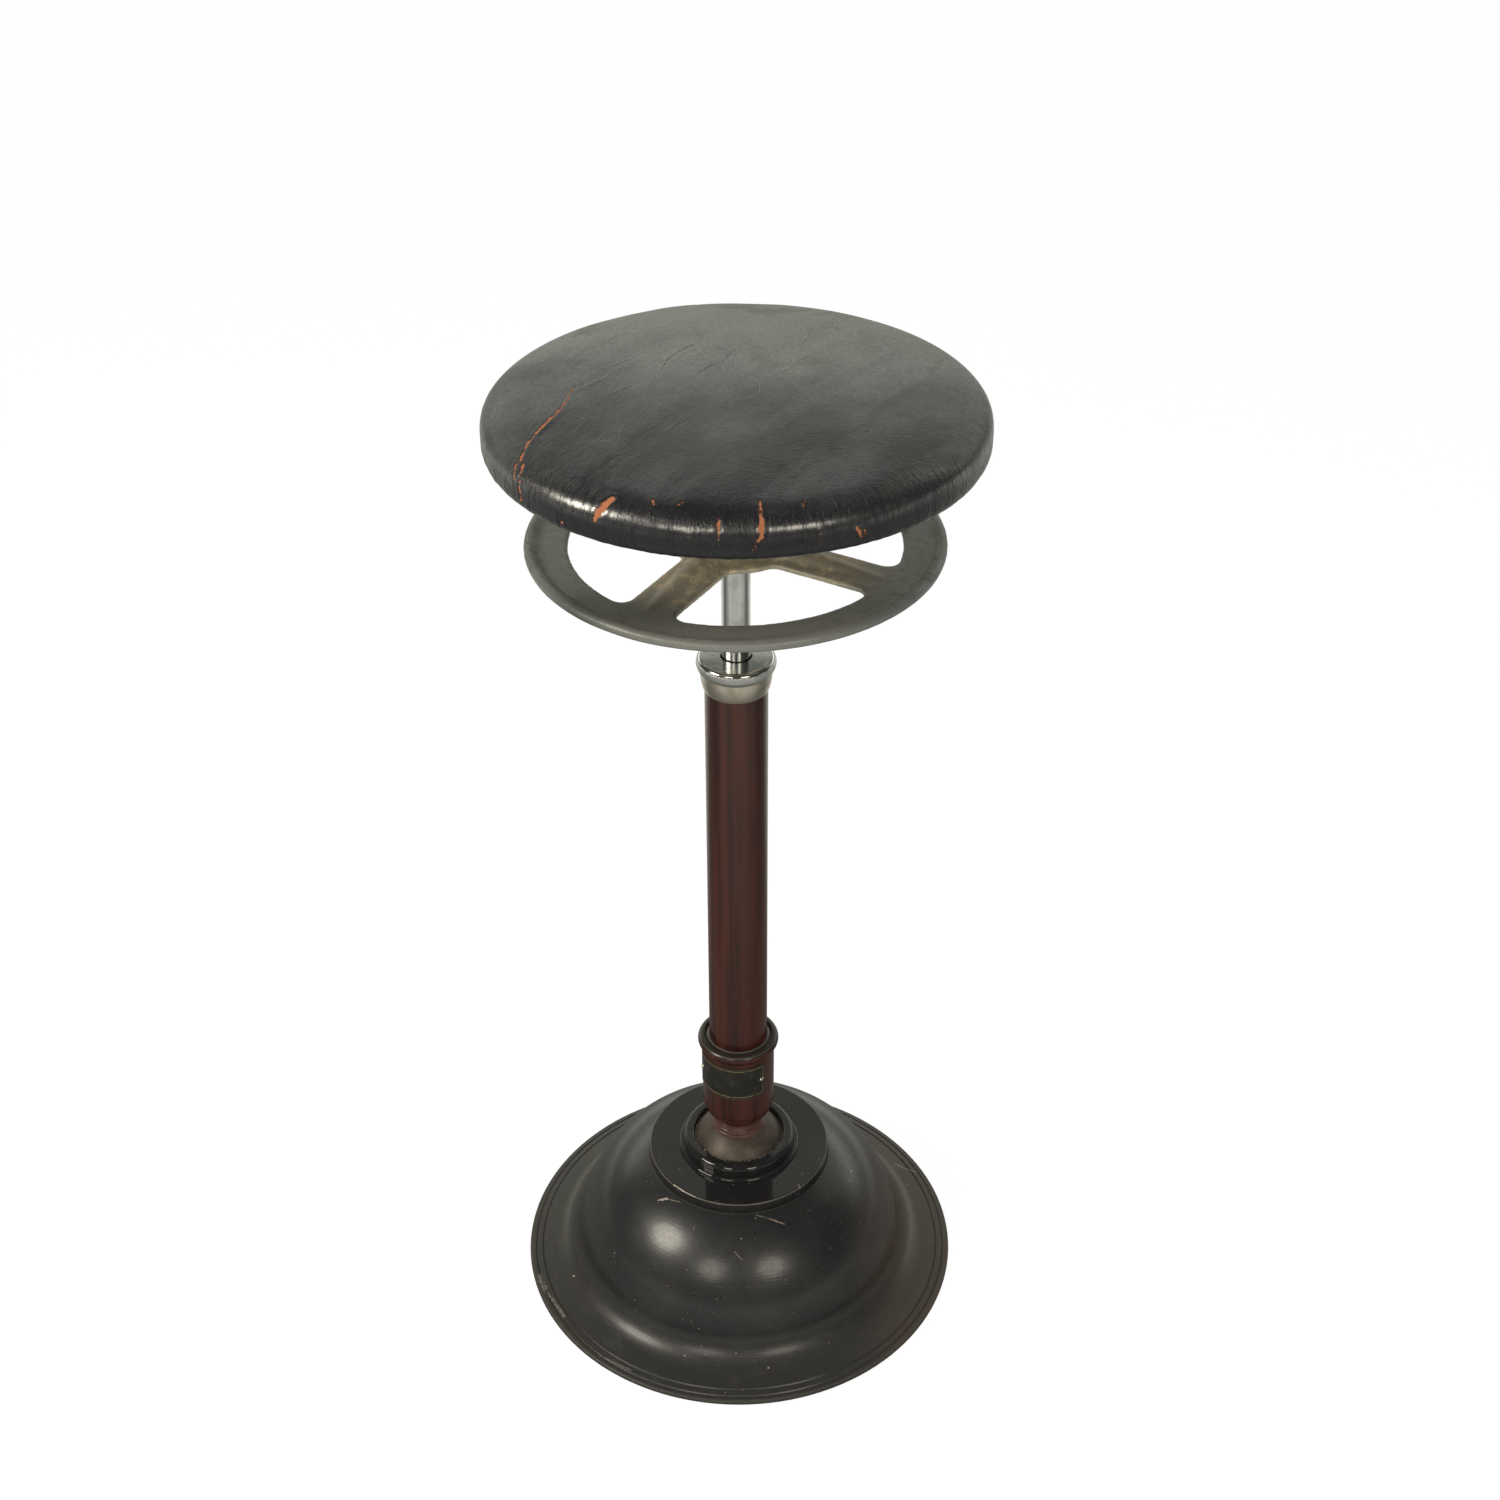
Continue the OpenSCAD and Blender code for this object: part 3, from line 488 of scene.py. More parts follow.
@shared(Scale=200.0, Size=0.2, Share=0.1)
def specks(n, vector, scale, size, share):
    """Small separate dots: the middles of some cells of a cell pattern, picked by their
    random colour, with a size that differs from cell to cell."""
    wander = n.value("ShaderNodeTexNoise", (("Vector", vector), ("Scale", 900.0)), "Color")
    ragged = n.vector("ADD", vector, n.scaled(wander, 0.0006))
    cell = n.add("ShaderNodeTexVoronoi", (("Vector", ragged), ("Scale", scale))).outputs
    luck, odds, _ = n.parts(Value(n, cell["Color"]))
    reach = size * (0.35 + odds)
    near = n.step(Value(n, cell["Distance"]), reach, reach * 0.7)
    return near * n.calc("LESS_THAN", luck, share)


@shared(Radius=0.1, Height=0.1, Width=0.001, Raggedness=0.6, Patches=60.0)
def rim_wear(n, vector, radius, height, width, ragged, patches):
    """Wear along a turned edge: near the circle of the given radius and height, broken up
    by noise. The distance is taken in the half plane through the axis."""
    x, y, z = n.parts(vector)
    off = n.hypot(n.hypot(x, y) - radius, z - height)
    patch, fine = n.noise(vector, patches, 4.0, 0.65), n.noise(vector, 700.0, 2.0, 0.6)
    reach = width * ((1.0 - ragged) + ragged * ((patch + patch) * (fine + 0.4)))
    return n.step(off, reach, reach * 0.35)


@shared(Start=(0.0, 0.0, 0.0), End=(0.0, 0.0, 0.0), Width=0.001)
def stroke(n, vector, start, end, width):
    """One short mark: distance from the straight piece between two points, less a noise."""
    line, off = n.vector("SUBTRACT", end, start), n.vector("SUBTRACT", vector, start)
    share = n.value("ShaderNodeClamp", (
        (0, n.vector("DOT_PRODUCT", off, line) / n.vector("DOT_PRODUCT", line, line)),))
    far = n.vector("LENGTH", n.vector("SUBTRACT", off, n.scaled(line, share)))
    reach = width * (1.0 + (n.noise(vector, 380.0, 4.0, 0.75) - 0.5) * 5.0)
    return n.step(far, reach, reach * 0.4)


@shared(Scale=60.0, Stretch=(1.0, 1.0, 0.03), From=0.4, To=0.65)
def streaks(n, vector, scale, stretch, low, high):
    """Long marks: noise squeezed along one direction by the Stretch scale."""
    return n.step(n.noise(n.vector("MULTIPLY", vector, stretch), scale, 4.0, 0.6), low, high)


@shared(Scale=40.0, Width=0.01, Share=0.6)
def scratches(n, vector, scale, width, share):
    """Thin broken lines: borders between long cells, kept only where a noise is high."""
    long_cells = n.place(vector, (1.0, 0.16, 0.6), (0.3, 0.2, 0.6))
    line = n.step(n.cells(long_cells, scale, "DISTANCE_TO_EDGE"), width, 0.0)
    return line * n.step(n.noise(vector, 35.0, 2.0), share, 0.8)


@shared("Height", Broad=0.0002, Fine=0.00003)
def cast_skin(n, vector, broad, fine):
    """Height of a rough casting under its paint: broad hollows plus fine sand marks."""
    return n.noise(vector, 38.0, 2.0) * broad + n.noise(vector, 620.0, 3.0, 0.6) * fine


# Finishes: n holds the nodes of the material's tree, and p is the object's own point

def bell_paint(n, p, paint):
    """Old black paint on cast iron: satin under a thin gloss, dusty on the foot, brownish
    at the sides and where it is thin, bare along its edges."""
    x, _, z = n.parts(p)
    foot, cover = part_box("base_bell")[1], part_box("cover_disc")
    thin, small = blotches(n, p, 9.0, 0.42, 0.72), blotches(n, p, 70.0, 0.5, 0.75)
    # painted reflection: an olive sheen laid on both sides of the bell, where the surroundings reflect at
    # a grazing angle
    flank = n.step(abs(x), 92 * MM, 128 * MM)
    # painted reflection: a warm brown sheen laid on the right side of the bell
    right = n.step(x, 80 * MM, 130 * MM) * (0.5 + small * 0.4)
    dusty = n.step(z, 34 * MM, 14 * MM) * (1.0 - flank * 0.5)
    pale, dust = specks(n, p, 90.0, 0.060, 0.22), specks(n, p, 170.0, 0.12, 0.13)
    line = scratches(n, p, 26.0, 0.007, 0.58)
    # turned edges: radius, height, half width, raggedness
    worn = 0.0
    for radius, height, width, ragged in (
            (foot.x - 1.2 * MM, 4.7 * MM, 1.7 * MM, 0.9),
            (foot.x - 5.2 * MM, 5.9 * MM, 0.8 * MM, 0.8),
            (foot.x - 10.8 * MM, 7.2 * MM, 0.7 * MM, 0.8),
            (cover[1].x + 0.7 * MM, cover[0].z, 0.8 * MM, 0.6)):
        worn = n.most(worn, rim_wear(n, p, radius, height, width, ragged))
    colour = n.over(
        paint.bell, (thin * 0.45, paint.bell_brown), (small * 0.22, paint.bell_brown),
        (flank * 0.6, (0.033, 0.030, 0.021)), (right, (0.070, 0.050, 0.036)),
        (dusty * (0.35 + small * 0.3), (0.058, 0.056, 0.051)),
        (worn * 0.38, (0.085, 0.070, 0.054)), (pale * 0.8, (0.26, 0.25, 0.22)),
        (dust * 0.6, (0.15, 0.14, 0.12)), (line * 0.2, (0.12, 0.11, 0.095)))
    for start, end, width, share, bare in BELL_MARKS:
        mark = stroke(n, p, start, end, width * MM) * share
        colour = n.blend(mark, colour, bare)
        dust = n.most(dust, mark)
    grit = n.noise(p, 420.0, 4.0, 0.65)
    rough = (0.30 + grit * 0.16) + (worn + dust) * 0.2
    height = cast_skin(n, p, 0.00030, 0.000034) - n.most(pale, dust) * 0.00006
    dulled = n.most(flank, n.step(z, 30 * MM, 12 * MM))
    clear = (0.74 - n.most(worn, dust) * 0.5) * (1.0 - dulled * 0.62)
    n.surface(colour, rough, height, Coat_Roughness=0.20,
              Coat_Weight=clear * n.step(grit, 0.36, 0.56, 0.52, 1.0))


def gloss_paint(n, p, paint):
    """Deep gloss black of the disc and the ring, rubbed along the disc's rim."""
    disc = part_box("cover_disc")[1]
    worn = rim_wear(n, p, disc.x - 0.4 * MM, disc.z - 0.6 * MM, 0.8 * MM, 0.6, 90.0)
    line = scratches(n, p, 34.0, 0.006, 0.5)
    colour = n.over(
        paint.gloss, (blotches(n, p, 22.0, 0.38, 0.7) * 0.5, (0.022, 0.026, 0.028)),
        (worn * 0.75, (0.115, 0.098, 0.080)),
        (specks(n, p, 160.0, 0.12, 0.07) * 0.5, (0.16, 0.15, 0.13)),
        (line * 0.18, (0.12, 0.11, 0.10)))
    for start, end, width, share in DISC_MARKS:
        colour = n.blend(stroke(n, p, start, end, width * MM) * share, colour, CHIP)
    rough = (n.noise(p, 55.0, 4.0, 0.55) * 0.05 + 0.03) + n.most(worn, line) * 0.25
    n.surface(colour, rough, cast_skin(n, p, 0.00003, 0.000003), Specular_IOR_Level=0.6)


def enamel(n, p, paint):
    """Colour, roughness and height of the streaked mahogany enamel."""
    narrow = streaks(n, p, 260.0, (1, 1, 0.05), 0.42, 0.66)
    chips = specks(n, p, 95.0, 0.10, 0.035)
    colour = n.over(
        paint.mahogany_dark,
        (streaks(n, p, 70.0, (1, 1, 0.035), 0.43, 0.59), paint.mahogany),
        (narrow * 0.28, (0.080, 0.017, 0.010)), (chips * 0.8, paint.primer))
    height = narrow * 0.000008 + n.noise(p, 60.0, 2.0) * 0.00006 - chips * 0.00006
    return colour, 0.16 + n.noise(p, 150.0, 4.0, 0.6) * 0.12, height


def tube_paint(n, p, paint):
    """Streaked mahogany enamel of the tube."""
    n.surface(*enamel(n, p, paint), Specular_IOR_Level=0.4)


def socket_paint(n, p, paint):
    """The socket casting: bare worn ball, pinkish beads, mahogany barrel, dark flange."""
    z = n.parts(p)[2]
    colour, rough, height = enamel(n, p, paint)
    film = n.step(n.noise(p, 90.0, 4.0, 0.6), 0.35, 0.65)
    grit = n.noise(p, 420.0, 4.0, 0.7)
    # beads and neck: paint rubbed thin to a pinkish brown
    bead = (n.step(z, SOCKET_BEADS - 1.2 * MM, SOCKET_BEADS)
            * n.step(z, SOCKET_BEADS + 11 * MM, SOCKET_BEADS + 6.5 * MM))
    # ball: brown steel, rubbed bright in a ragged line where it enters the ring
    ball = n.step(z, SOCKET_BEADS + 0.2 * MM, SOCKET_BEADS - 0.6 * MM)
    ragged = z + (grit - 0.5) * (5 * MM)
    bright = n.step(ragged, SOCKET_BEADS - 12.2 * MM, SOCKET_BEADS - 13.4 * MM)
    steel = n.over((0.066, 0.053, 0.042), (film, (0.100, 0.082, 0.065)),
                   (n.step(grit, 0.45, 0.7) * 0.4, (0.06, 0.045, 0.035)),
                   (bright * 0.8, (0.62, 0.55, 0.45)))
    # flange: dark dished top with a thin grey line round the tube and a rubbed rim
    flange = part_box("column_socket")[1].z
    top = n.step(z, flange - 3.0 * MM, flange - 1.6 * MM)
    colour = n.over(colour, (bead * (0.45 + film * 0.4), (0.122, 0.072, 0.058)), (ball, steel),
                    (top * 0.9, (0.024, 0.021, 0.017)))
    for radius, down, width, share in (
            (23.2 * MM, 0.3 * MM, 0.9 * MM, 0.8), (29.6 * MM, 1.2 * MM, 1.0 * MM, 0.3)):
        edge = rim_wear(n, p, radius, flange - down, width, 0.35)
        colour = n.blend(edge * share, colour, (0.135, 0.135, 0.125))
    n.surface(colour, rough + ball * 0.22, height + grit * ball * 0.00007,
              Metallic=ball * 0.4, Specular_IOR_Level=0.4)


def plate_finish(n, p, paint):
    """Blank black plate with a gilt line a little inside its edge.

    The line is where a rounded rectangle, laid round the barrel, is nearly zero: the
    distance along the arc and the height from the plate's middle are each taken from
    half the plate less a margin."""
    x, y, z = n.parts(p)
    low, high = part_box("socket_plate")
    along = abs(n.calc("ARCTAN2", y, x) - PLATE_TURN) * PLATE_RADIUS
    up = abs(z - (low.z + high.z) / 2)
    half_long, half_high = PLATE_WRAP / 2 * PLATE_RADIUS, (high.z - low.z) / 2
    corner = 1.6 * MM

    def frame_line(margin, width):
        """Line of a half width, at a margin inside the plate's edge."""
        a = n.most(along - (half_long - margin - corner), 0.0)
        b = n.most(up - (half_high - margin - corner), 0.0)
        return n.step(abs(n.hypot(a, b) - corner), width, width * 0.45)

    kept = n.step(n.noise(p, 260.0, 4.0, 0.7), 0.30, 0.52)
    line, rim = frame_line(2.3 * MM, 0.42 * MM) * kept, frame_line(0.25 * MM, 0.35 * MM)
    colour = n.over(
        (0.0105, 0.0105, 0.0085), (blotches(n, p, 130.0, 0.45, 0.7), (0.026, 0.025, 0.018)),
        (rim * 0.7, (0.16, 0.12, 0.06)), (line, paint.gilt))
    n.surface(colour, 0.30 + n.noise(p, 300.0) * 0.16,
              line * 0.00006 + n.noise(p, 500.0) * 0.00002, Metallic=n.most(line, rim) * 0.7)


def plated(n, p, colour, low, high, stretch, dark=0.5):
    """Nickel plating: fine streaks along the turning or drawing marks, dull spots."""
    marks = streaks(n, p, 240.0, stretch, 0.35, 0.7)
    film = blotches(n, p, 75.0, 0.42, 0.72)
    pits = specks(n, p, 190.0, 0.16, 0.05)
    dull = tuple(c * f for c, f in zip(colour, (0.72, 0.68, 0.60)))
    shade = n.over(colour, (film * dark, dull), (marks * 0.25, dull),
                   (pits * 0.7, (0.045, 0.036, 0.026)))
    fine = n.noise(n.vector("MULTIPLY", p, stretch), 900.0, 3.0, 0.6)
    n.surface(shade, n.step(film * 0.6 + marks * 0.4, 0.0, 1.0, low, high),
              fine * 0.000005 - pits * 0.00002, Metallic=1.0)


def wheel_finish(n, p, metal):
    """Dull grey casting: mottled film, brassy spokes near the hub, grime at the left front,
    a rubbed front rim, fine scratches and dark nicks."""
    x, y, _ = n.parts(p)
    spots = blotches(n, p, 150.0, 0.46, 0.70)
    nicks = specks(n, p, 110.0, 0.12, 0.06)
    dark = n.blend(0.45, metal.wheel, (0.03, 0.032, 0.03))
    inner = n.step(n.hypot(x, y), 0.118, 0.07) * (0.6 + spots)
    # the wheel is made darker towards the left front
    left_front_darkening = n.step(x, 0.01, -0.07) * n.step(y, -0.055, -0.100)
    # painted light: the front rim, which the lamps in front light, is made lighter
    rubbed = n.step(y, -0.095, -0.130)
    colour = n.over(
        metal.wheel, (blotches(n, p, 26.0, 0.38, 0.68) * 0.55, dark), (spots * 0.45, dark),
        (n.calc("MINIMUM", inner * 0.66, 0.9), metal.brass),
        (left_front_darkening * 0.62, (0.06, 0.066, 0.06)), (rubbed * 0.45, (0.33, 0.33, 0.30)),
        (scratches(n, p, 30.0, 0.008, 0.5) * 0.4, (0.34, 0.34, 0.31)),
        (nicks * 0.55, (0.035, 0.035, 0.03)))
    height = cast_skin(n, p, 0.00028, 0.00006) - nicks * 0.00008
    n.surface(colour, 0.44 + spots * 0.14, height, Metallic=0.35)


def plain_metal(n, p, colour, roughness, stain, skin_depth=0.00002, metallic=1.0):
    """Bare metal of an inner part: film, stains and tool marks."""
    film = blotches(n, p, 110.0, 0.4, 0.7)
    shade = n.over(colour, (film * 0.6, stain), (specks(n, p, 260.0, 0.25, 0.12) * 0.6, stain))
    n.surface(shade, roughness + film * 0.18, cast_skin(n, p, skin_depth, skin_depth * 0.5),
              Metallic=metallic)


def felt_finish(n, p):
    """Matted brown felt: tangled fibres of two sizes."""
    fibre, lumps = n.noise(p, 1400.0, 4.0, 0.7, 2.0), blotches(n, p, 240.0, 0.35, 0.7)
    colour = n.over((0.060, 0.045, 0.034), (lumps, (0.105, 0.085, 0.065)),
                    (fibre * 0.4, (0.03, 0.022, 0.016)))
    n.surface(colour, 0.95, fibre * 0.00035 + lumps * 0.0003,
              Sheen_Weight=0.4, Sheen_Roughness=0.6)


def liner_finish(n, p):
    """Oiled leather washer between ball and cup."""
    cloud = blotches(n, p, 90.0, 0.35, 0.7)
    colour = n.blend(cloud, (0.050, 0.026, 0.013), (0.12, 0.065, 0.032))
    n.surface(colour, 0.45 + cloud * 0.2, n.cells(p, 900.0) * 0.00012)


def wood_finish(n, p):
    """Plain old board: straight grain along X, darker growth lines and a few pores."""
    warp = n.value("ShaderNodeCombineXYZ", (("Y", n.noise(n.place(p, (0.6, 1, 1)), 9.0, 2.0)),))
    bent = n.vector("ADD", n.place(p, (0.05, 1, 1)), n.scaled(warp, 0.02))
    rings = n.noise(bent, 150.0, 3.0, 0.55)
    pores = n.noise(n.place(p, (0.03, 1, 1)), 1300.0, 2.0, 0.6)
    colour = n.over(
        (0.19, 0.105, 0.05), (n.step(rings, 0.35, 0.65), (0.34, 0.21, 0.11)),
        (n.step(pores, 0.58, 0.72), (0.08, 0.042, 0.02)),
        (blotches(n, p, 18.0, 0.45, 0.8) * 0.5, (0.10, 0.06, 0.035)))
    n.surface(colour, 0.62 + rings * 0.2, (rings + pores) * 0.0001)


def hair_finish(n, p):
    """Curled hair stuffing: crossing curly fibres, dark brown to tan."""
    curls = n.noise(p, 320.0, 5.0, 0.75, 3.5)
    threads = n.noise(n.place(p, (1, 0.2, 1), (0.4, 0.2, 0.9)), 1500.0, 3.0, 0.7, 1.5)
    colour = n.over((0.028, 0.018, 0.011), (n.step(curls, 0.35, 0.65), (0.16, 0.105, 0.06)),
                    (n.step(threads, 0.52, 0.7), (0.27, 0.19, 0.115)))
    n.surface(colour, 0.8, curls * 0.0012 + threads * 0.0003, Sheen_Weight=0.3)


def hide_finish(n, p, hide):
    """Old black hide: fine grain, grey rubbed top, fine wrinkles along one slanting
    direction and across the shoulder (Wrap attribute), thin folds where the Crease distance
    is zero and as strong as the Fold attribute, undyed hide where Tear is below zero."""
    def stored(name, output="Fac"):
        """Value that the hide's mesh carries at each point."""
        return n.value("ShaderNodeAttribute", output=output, attribute_name=name)

    x, y, _ = n.parts(p)
    wrap, tear, crease, fold = stored("wrap", "Vector"), stored("tear"), stored("crease"), stored("fold")
    reach = n.parts(wrap)[2]
    side = n.step(reach, CROWN_END, SIDE_START)
    top = 1.0 - side

    # height: grain, slanting wrinkles on the top, upright wrinkles on the shoulder
    grain = n.cells(p, 620.0, "SMOOTH_F1") + n.noise(p, 800.0, 3.0, 0.6)
    lean = n.place(p, (3.6, 1, 1), (0, 0, math.radians(58)), "TEXTURE")
    cross = n.noise(n.place(p, (0.45, 1.0, 1.0)), 460.0, 3.0, 0.6, 0.8)
    drag = n.blend(n.step(x, -0.09, 0.05), n.noise(lean, 330.0, 4.0, 0.62, 0.6), cross)
    broad = n.noise(lean, 34.0, 3.0, 0.55, 0.6)
    across = n.vector("MULTIPLY", wrap, (1.0, 1.0, 0.10))
    pleat = n.noise(across, 380.0, 3.0, 0.6, 0.35)
    fine_pleat = n.noise(n.vector("MULTIPLY", wrap, (1.0, 1.0, 0.22)), 900.0, 3.0, 0.65, 0.6)
    pleats = (pleat * 0.0008 + fine_pleat * 0.0007) * side * (0.35 + n.noise(wrap, 16.0, 2.0))
    height = grain * 0.00020 + drag * top * 0.00060 + broad * top * 0.0005 + pleats

    # thin folds: a small ledge with painted shade in a dark line at its foot and a painted highlight on
    # its lip
    wobble = ((n.noise(p, 420.0, 3.0, 0.6) - 0.5) * 0.0022
              + (n.noise(p, 110.0, 2.0) - 0.5) * 0.003)
    beside_fold = crease + wobble
    height = height + n.step(beside_fold, -0.00030, 0.00025) * fold * 0.00042
    line = n.step(abs(beside_fold + 0.00022), 0.00050, 0.00010) * n.step(fold, 0.0, 0.6)
    fold_highlight = n.step(abs(beside_fold - 0.0007), 0.0006, 0.0001) * fold * (top * 0.5)

    # torn places: the edge of the tear is made ragged by noise
    ragged = (n.noise(across, 700.0, 4.0, 0.7) - 0.5) * 0.0034
    bits = (n.noise(p, 300.0, 4.0, 0.7) - 0.5) * 0.0044
    off = tear + (ragged + bits)
    torn = n.step(off, 0.00010, -0.00008)
    lip = n.step(off, 0.0010, 0.0001) * (1.0 - torn)
    height = height - torn * 0.00035
    flesh = n.blend(n.noise(across, 500.0, 4.0, 0.7), hide.tan, (0.26, 0.085, 0.035))

    # the front stays black and glossy; round the sides the grey, partly worn hide and partly a painted
    # sheen, reaches down to the edge
    rub = blotches(n, lean, 26.0, 0.38, 0.64)
    back = n.vector("DOT_PRODUCT", p, (0.10, 1.0, 0.0))
    # painted sheen: the grey grows lighter towards the back, as the bright backdrop's reflection does
    fade = n.step(back + n.noise(p, 14.0, 4.0, 0.6) * 0.16, -0.01, 0.21)
    band = reach + n.noise(p, 24.0, 3.0) * 0.010
    dull = n.step(band - n.step(y, -0.112, -0.078, 0.0, 0.022), 0.158, 0.146)
    pale = (rub * 0.17 + fade * 0.86) + (0.04 + n.step(drag, 0.35, 0.7) * 0.09)
    pale = pale * n.step(n.noise(p, 480.0, 3.0, 0.7), 0.30, 0.70, 0.72, 1.28)
    pale = pale * (0.04 + dull * 0.96) * n.step(reach, 0.184, SIDE_START, 0.22, 1.0)
    brown = blotches(n, p, 25.0, 0.54, 0.66) * n.step(y, -0.02, 0.06, 0.10, 0.38)
    colour = n.over(
        hide.black, (pale, n.blend(fade, (0.158, 0.166, 0.176), hide.faded)),
        (brown, (0.040, 0.037, 0.030)),
        (specks(n, p, 150.0, 0.12, 0.035) * 0.4, (0.15, 0.14, 0.12)),
        # painted shade along the foot of each fold, painted highlight on its lip
        (line * 0.7, (0.010, 0.010, 0.009)), (fold_highlight, (0.30, 0.31, 0.28)),
        (lip * 0.45, (0.045, 0.018, 0.010)), (torn, flesh))

    # the gloss of the front is broken up by the upright wrinkles
    rough = 0.26 + dull * 0.12 + n.noise(p, 260.0, 4.0, 0.6) * 0.14 + torn * 0.4
    lit = side * n.step(reach, 0.175, 0.166, 0.05, 1.0)
    broken = n.step(pleat * 0.45 + fine_pleat * 0.55, 0.40, 0.54, 0.15, 1.0)
    n.surface(colour, rough, height, Coat_Roughness=0.27, Coat_IOR=2.2,
              Coat_Weight=lit * broken * (1.0 - n.most(torn, dull * 0.85)))


def floor_finish(n, p):
    """Pale paper that the camera sees nearly white, with the object's shadow; in gloss it
    is dim round the stool and far in front of it, and bright between and behind."""
    seen, shiny = n.rays()
    y = n.parts(p)[1]
    paper = n.blend(n.noise(p, 3.0, 2.0), (0.86, 0.86, 0.86), (0.89, 0.89, 0.885))
    matt = n.value("ShaderNodeBsdfDiffuse", (("Color", paper),))
    white = n.value("ShaderNodeEmission", (("Color", (1, 1, 1)), ("Strength", 1.06)))
    gloss = (n.step(y, -2.6, -1.1, 0.08, 0.66) - n.step(y, -0.75, -0.35, 0.0, 0.26)
             - n.step(y, -0.40, -0.10, 0.0, 0.22) + n.step(y, 0.25, 0.65, 0.0, 0.62))
    dim = n.value("ShaderNodeEmission", (("Color", (1, 0.99, 0.90)), ("Strength", gloss)))

    def mix(*inputs):
        """Mix of two shaders: the share of the second, then both."""
        return n.value("ShaderNodeMixShader", enumerate(inputs))

    n.add("ShaderNodeOutputMaterial", (
        ("Surface", mix(shiny, mix(seen, matt, mix(0.88, matt, white)), dim)),))


def studio_world(n, fill):
    """White for the camera, even fill for the object, and for gloss a white backdrop behind
    the stool that gives way to a dim room in front of it and above."""
    seen, shiny = n.rays()
    x, y, z = n.parts(n.value("ShaderNodeTexCoord", output="Generated"))
    middle = math.radians(6)
    facing = (x * math.sin(middle) + y * math.cos(middle)) / n.most(n.hypot(x, y), 0.001)
    low = ((n.step(z, 0.49, 0.33, 0.0, 1.35) + n.step(z, 0.88, 0.66, 0.0, 0.46))
           * n.step(z, 0.12, 0.34, 0.09, 1.0))
    mirror = 0.045 + n.step(facing, 0.32, 0.74) * low
    level = (1.0 - shiny) * fill + shiny * mirror
    tint = n.blend(shiny, (1, 1, 1), (1.0, 0.99, 0.87))
    shade = n.value("ShaderNodeBackground", (("Color", tint), ("Strength", n.most(level, seen))))
    n.add("ShaderNodeOutputWorld", (("Surface", shade),))


# Fixed places and marks

# Plate round the column: direction of its middle, angle that it covers, and its radius;
# then the height of the beads under the barrel
PLATE_TURN = math.radians(-108.5)
PLATE_WRAP = math.radians(129)
PLATE_RADIUS = 28.5 * MM
SOCKET_BEADS = 134.0 * MM

# Seat: points of the crown's outline, gathers under the board, radius at which the hide's
# side is laid out flat for its wrinkles, and the distance that counts as far from any mark
CROWN_POINTS = 260
GATHERS = 72
WRAP_RADIUS = 0.163
FAR = 0.02
# Distances from the seat's middle along the hide at which the crown ends and the side starts
CROWN_END, SIDE_START = 0.144, 0.158
# Share of the way to the lap out to which the simulated cloth shapes the crown
SHAPED = 0.74

# Marks in the bell's paint: start and end in metres, half width in millimetres, share and
# bare colour
CHIP, RUST = (0.42, 0.36, 0.29), (0.16, 0.085, 0.06)
BELL_MARKS = [
    ((-0.0631, -0.0524, 0.0986), (-0.0568, -0.0534, 0.1008), 1.2, 0.85, CHIP),
    ((-0.0568, -0.0534, 0.1008), (-0.0464, -0.0583, 0.1024), 0.4, 0.5, CHIP),
    ((0.0131, -0.0727, 0.1026), (0.0240, -0.0749, 0.1004), 0.3, 0.5, CHIP),
    ((0.0240, -0.0749, 0.1004), (0.0348, -0.0771, 0.0972), 0.6, 0.7, (0.33, 0.23, 0.18)),
    ((0.1240, -0.0180, 0.0450), (0.1262, -0.0100, 0.0420), 2.2, 0.7, RUST),
    ((0.1247, -0.0347, 0.0332), (0.1270, -0.0300, 0.0260), 2.2, 0.55, RUST),
    ((0.1344, 0.0774, 0.0077), (0.1409, 0.0720, 0.0072), 0.7, 0.6, CHIP),
    ((0.1409, 0.0720, 0.0072), (0.1528, 0.0687, 0.0056), 0.5, 0.5, CHIP),
    ((-0.1630, -0.0458, 0.0062), (-0.1574, -0.0607, 0.0064), 2.2, 0.5, (0.30, 0.27, 0.23)),
    ((-0.1574, -0.0607, 0.0064), (-0.1403, -0.0883, 0.0062), 1.6, 0.45, (0.28, 0.25, 0.21)),
    ((-0.1096, -0.1283, 0.0058), (-0.0856, -0.1425, 0.0058), 1.0, 0.35, (0.28, 0.25, 0.21)),
    ((-0.1343, -0.0510, 0.0109), (-0.1340, -0.0510, 0.0110), 1.1, 0.95, (0.75, 0.75, 0.72)),
    ((0.0900, -0.0161, 0.0927), (0.0903, -0.0163, 0.0925), 0.8, 0.8, CHIP),
    ((0.0217, -0.1446, 0.0098), (0.0219, -0.1446, 0.0098), 0.9, 0.8, CHIP),
    ((-0.0034, -0.0974, 0.0881), (0.0004, -0.1008, 0.0851), 0.4, 0.4, CHIP),
]

# Marks in the disc's paint: start and end in metres, half width in millimetres and share
DISC_MARKS = [
    ((-0.0512, -0.0492, 0.1121), (-0.0431, -0.0564, 0.1121), 0.7, 0.7),
    ((-0.0431, -0.0564, 0.1121), (-0.0337, -0.0626, 0.1119), 0.45, 0.6),
    ((0.0470, -0.0508, 0.1123), (0.0476, -0.0526, 0.1115), 0.9, 0.8),
]

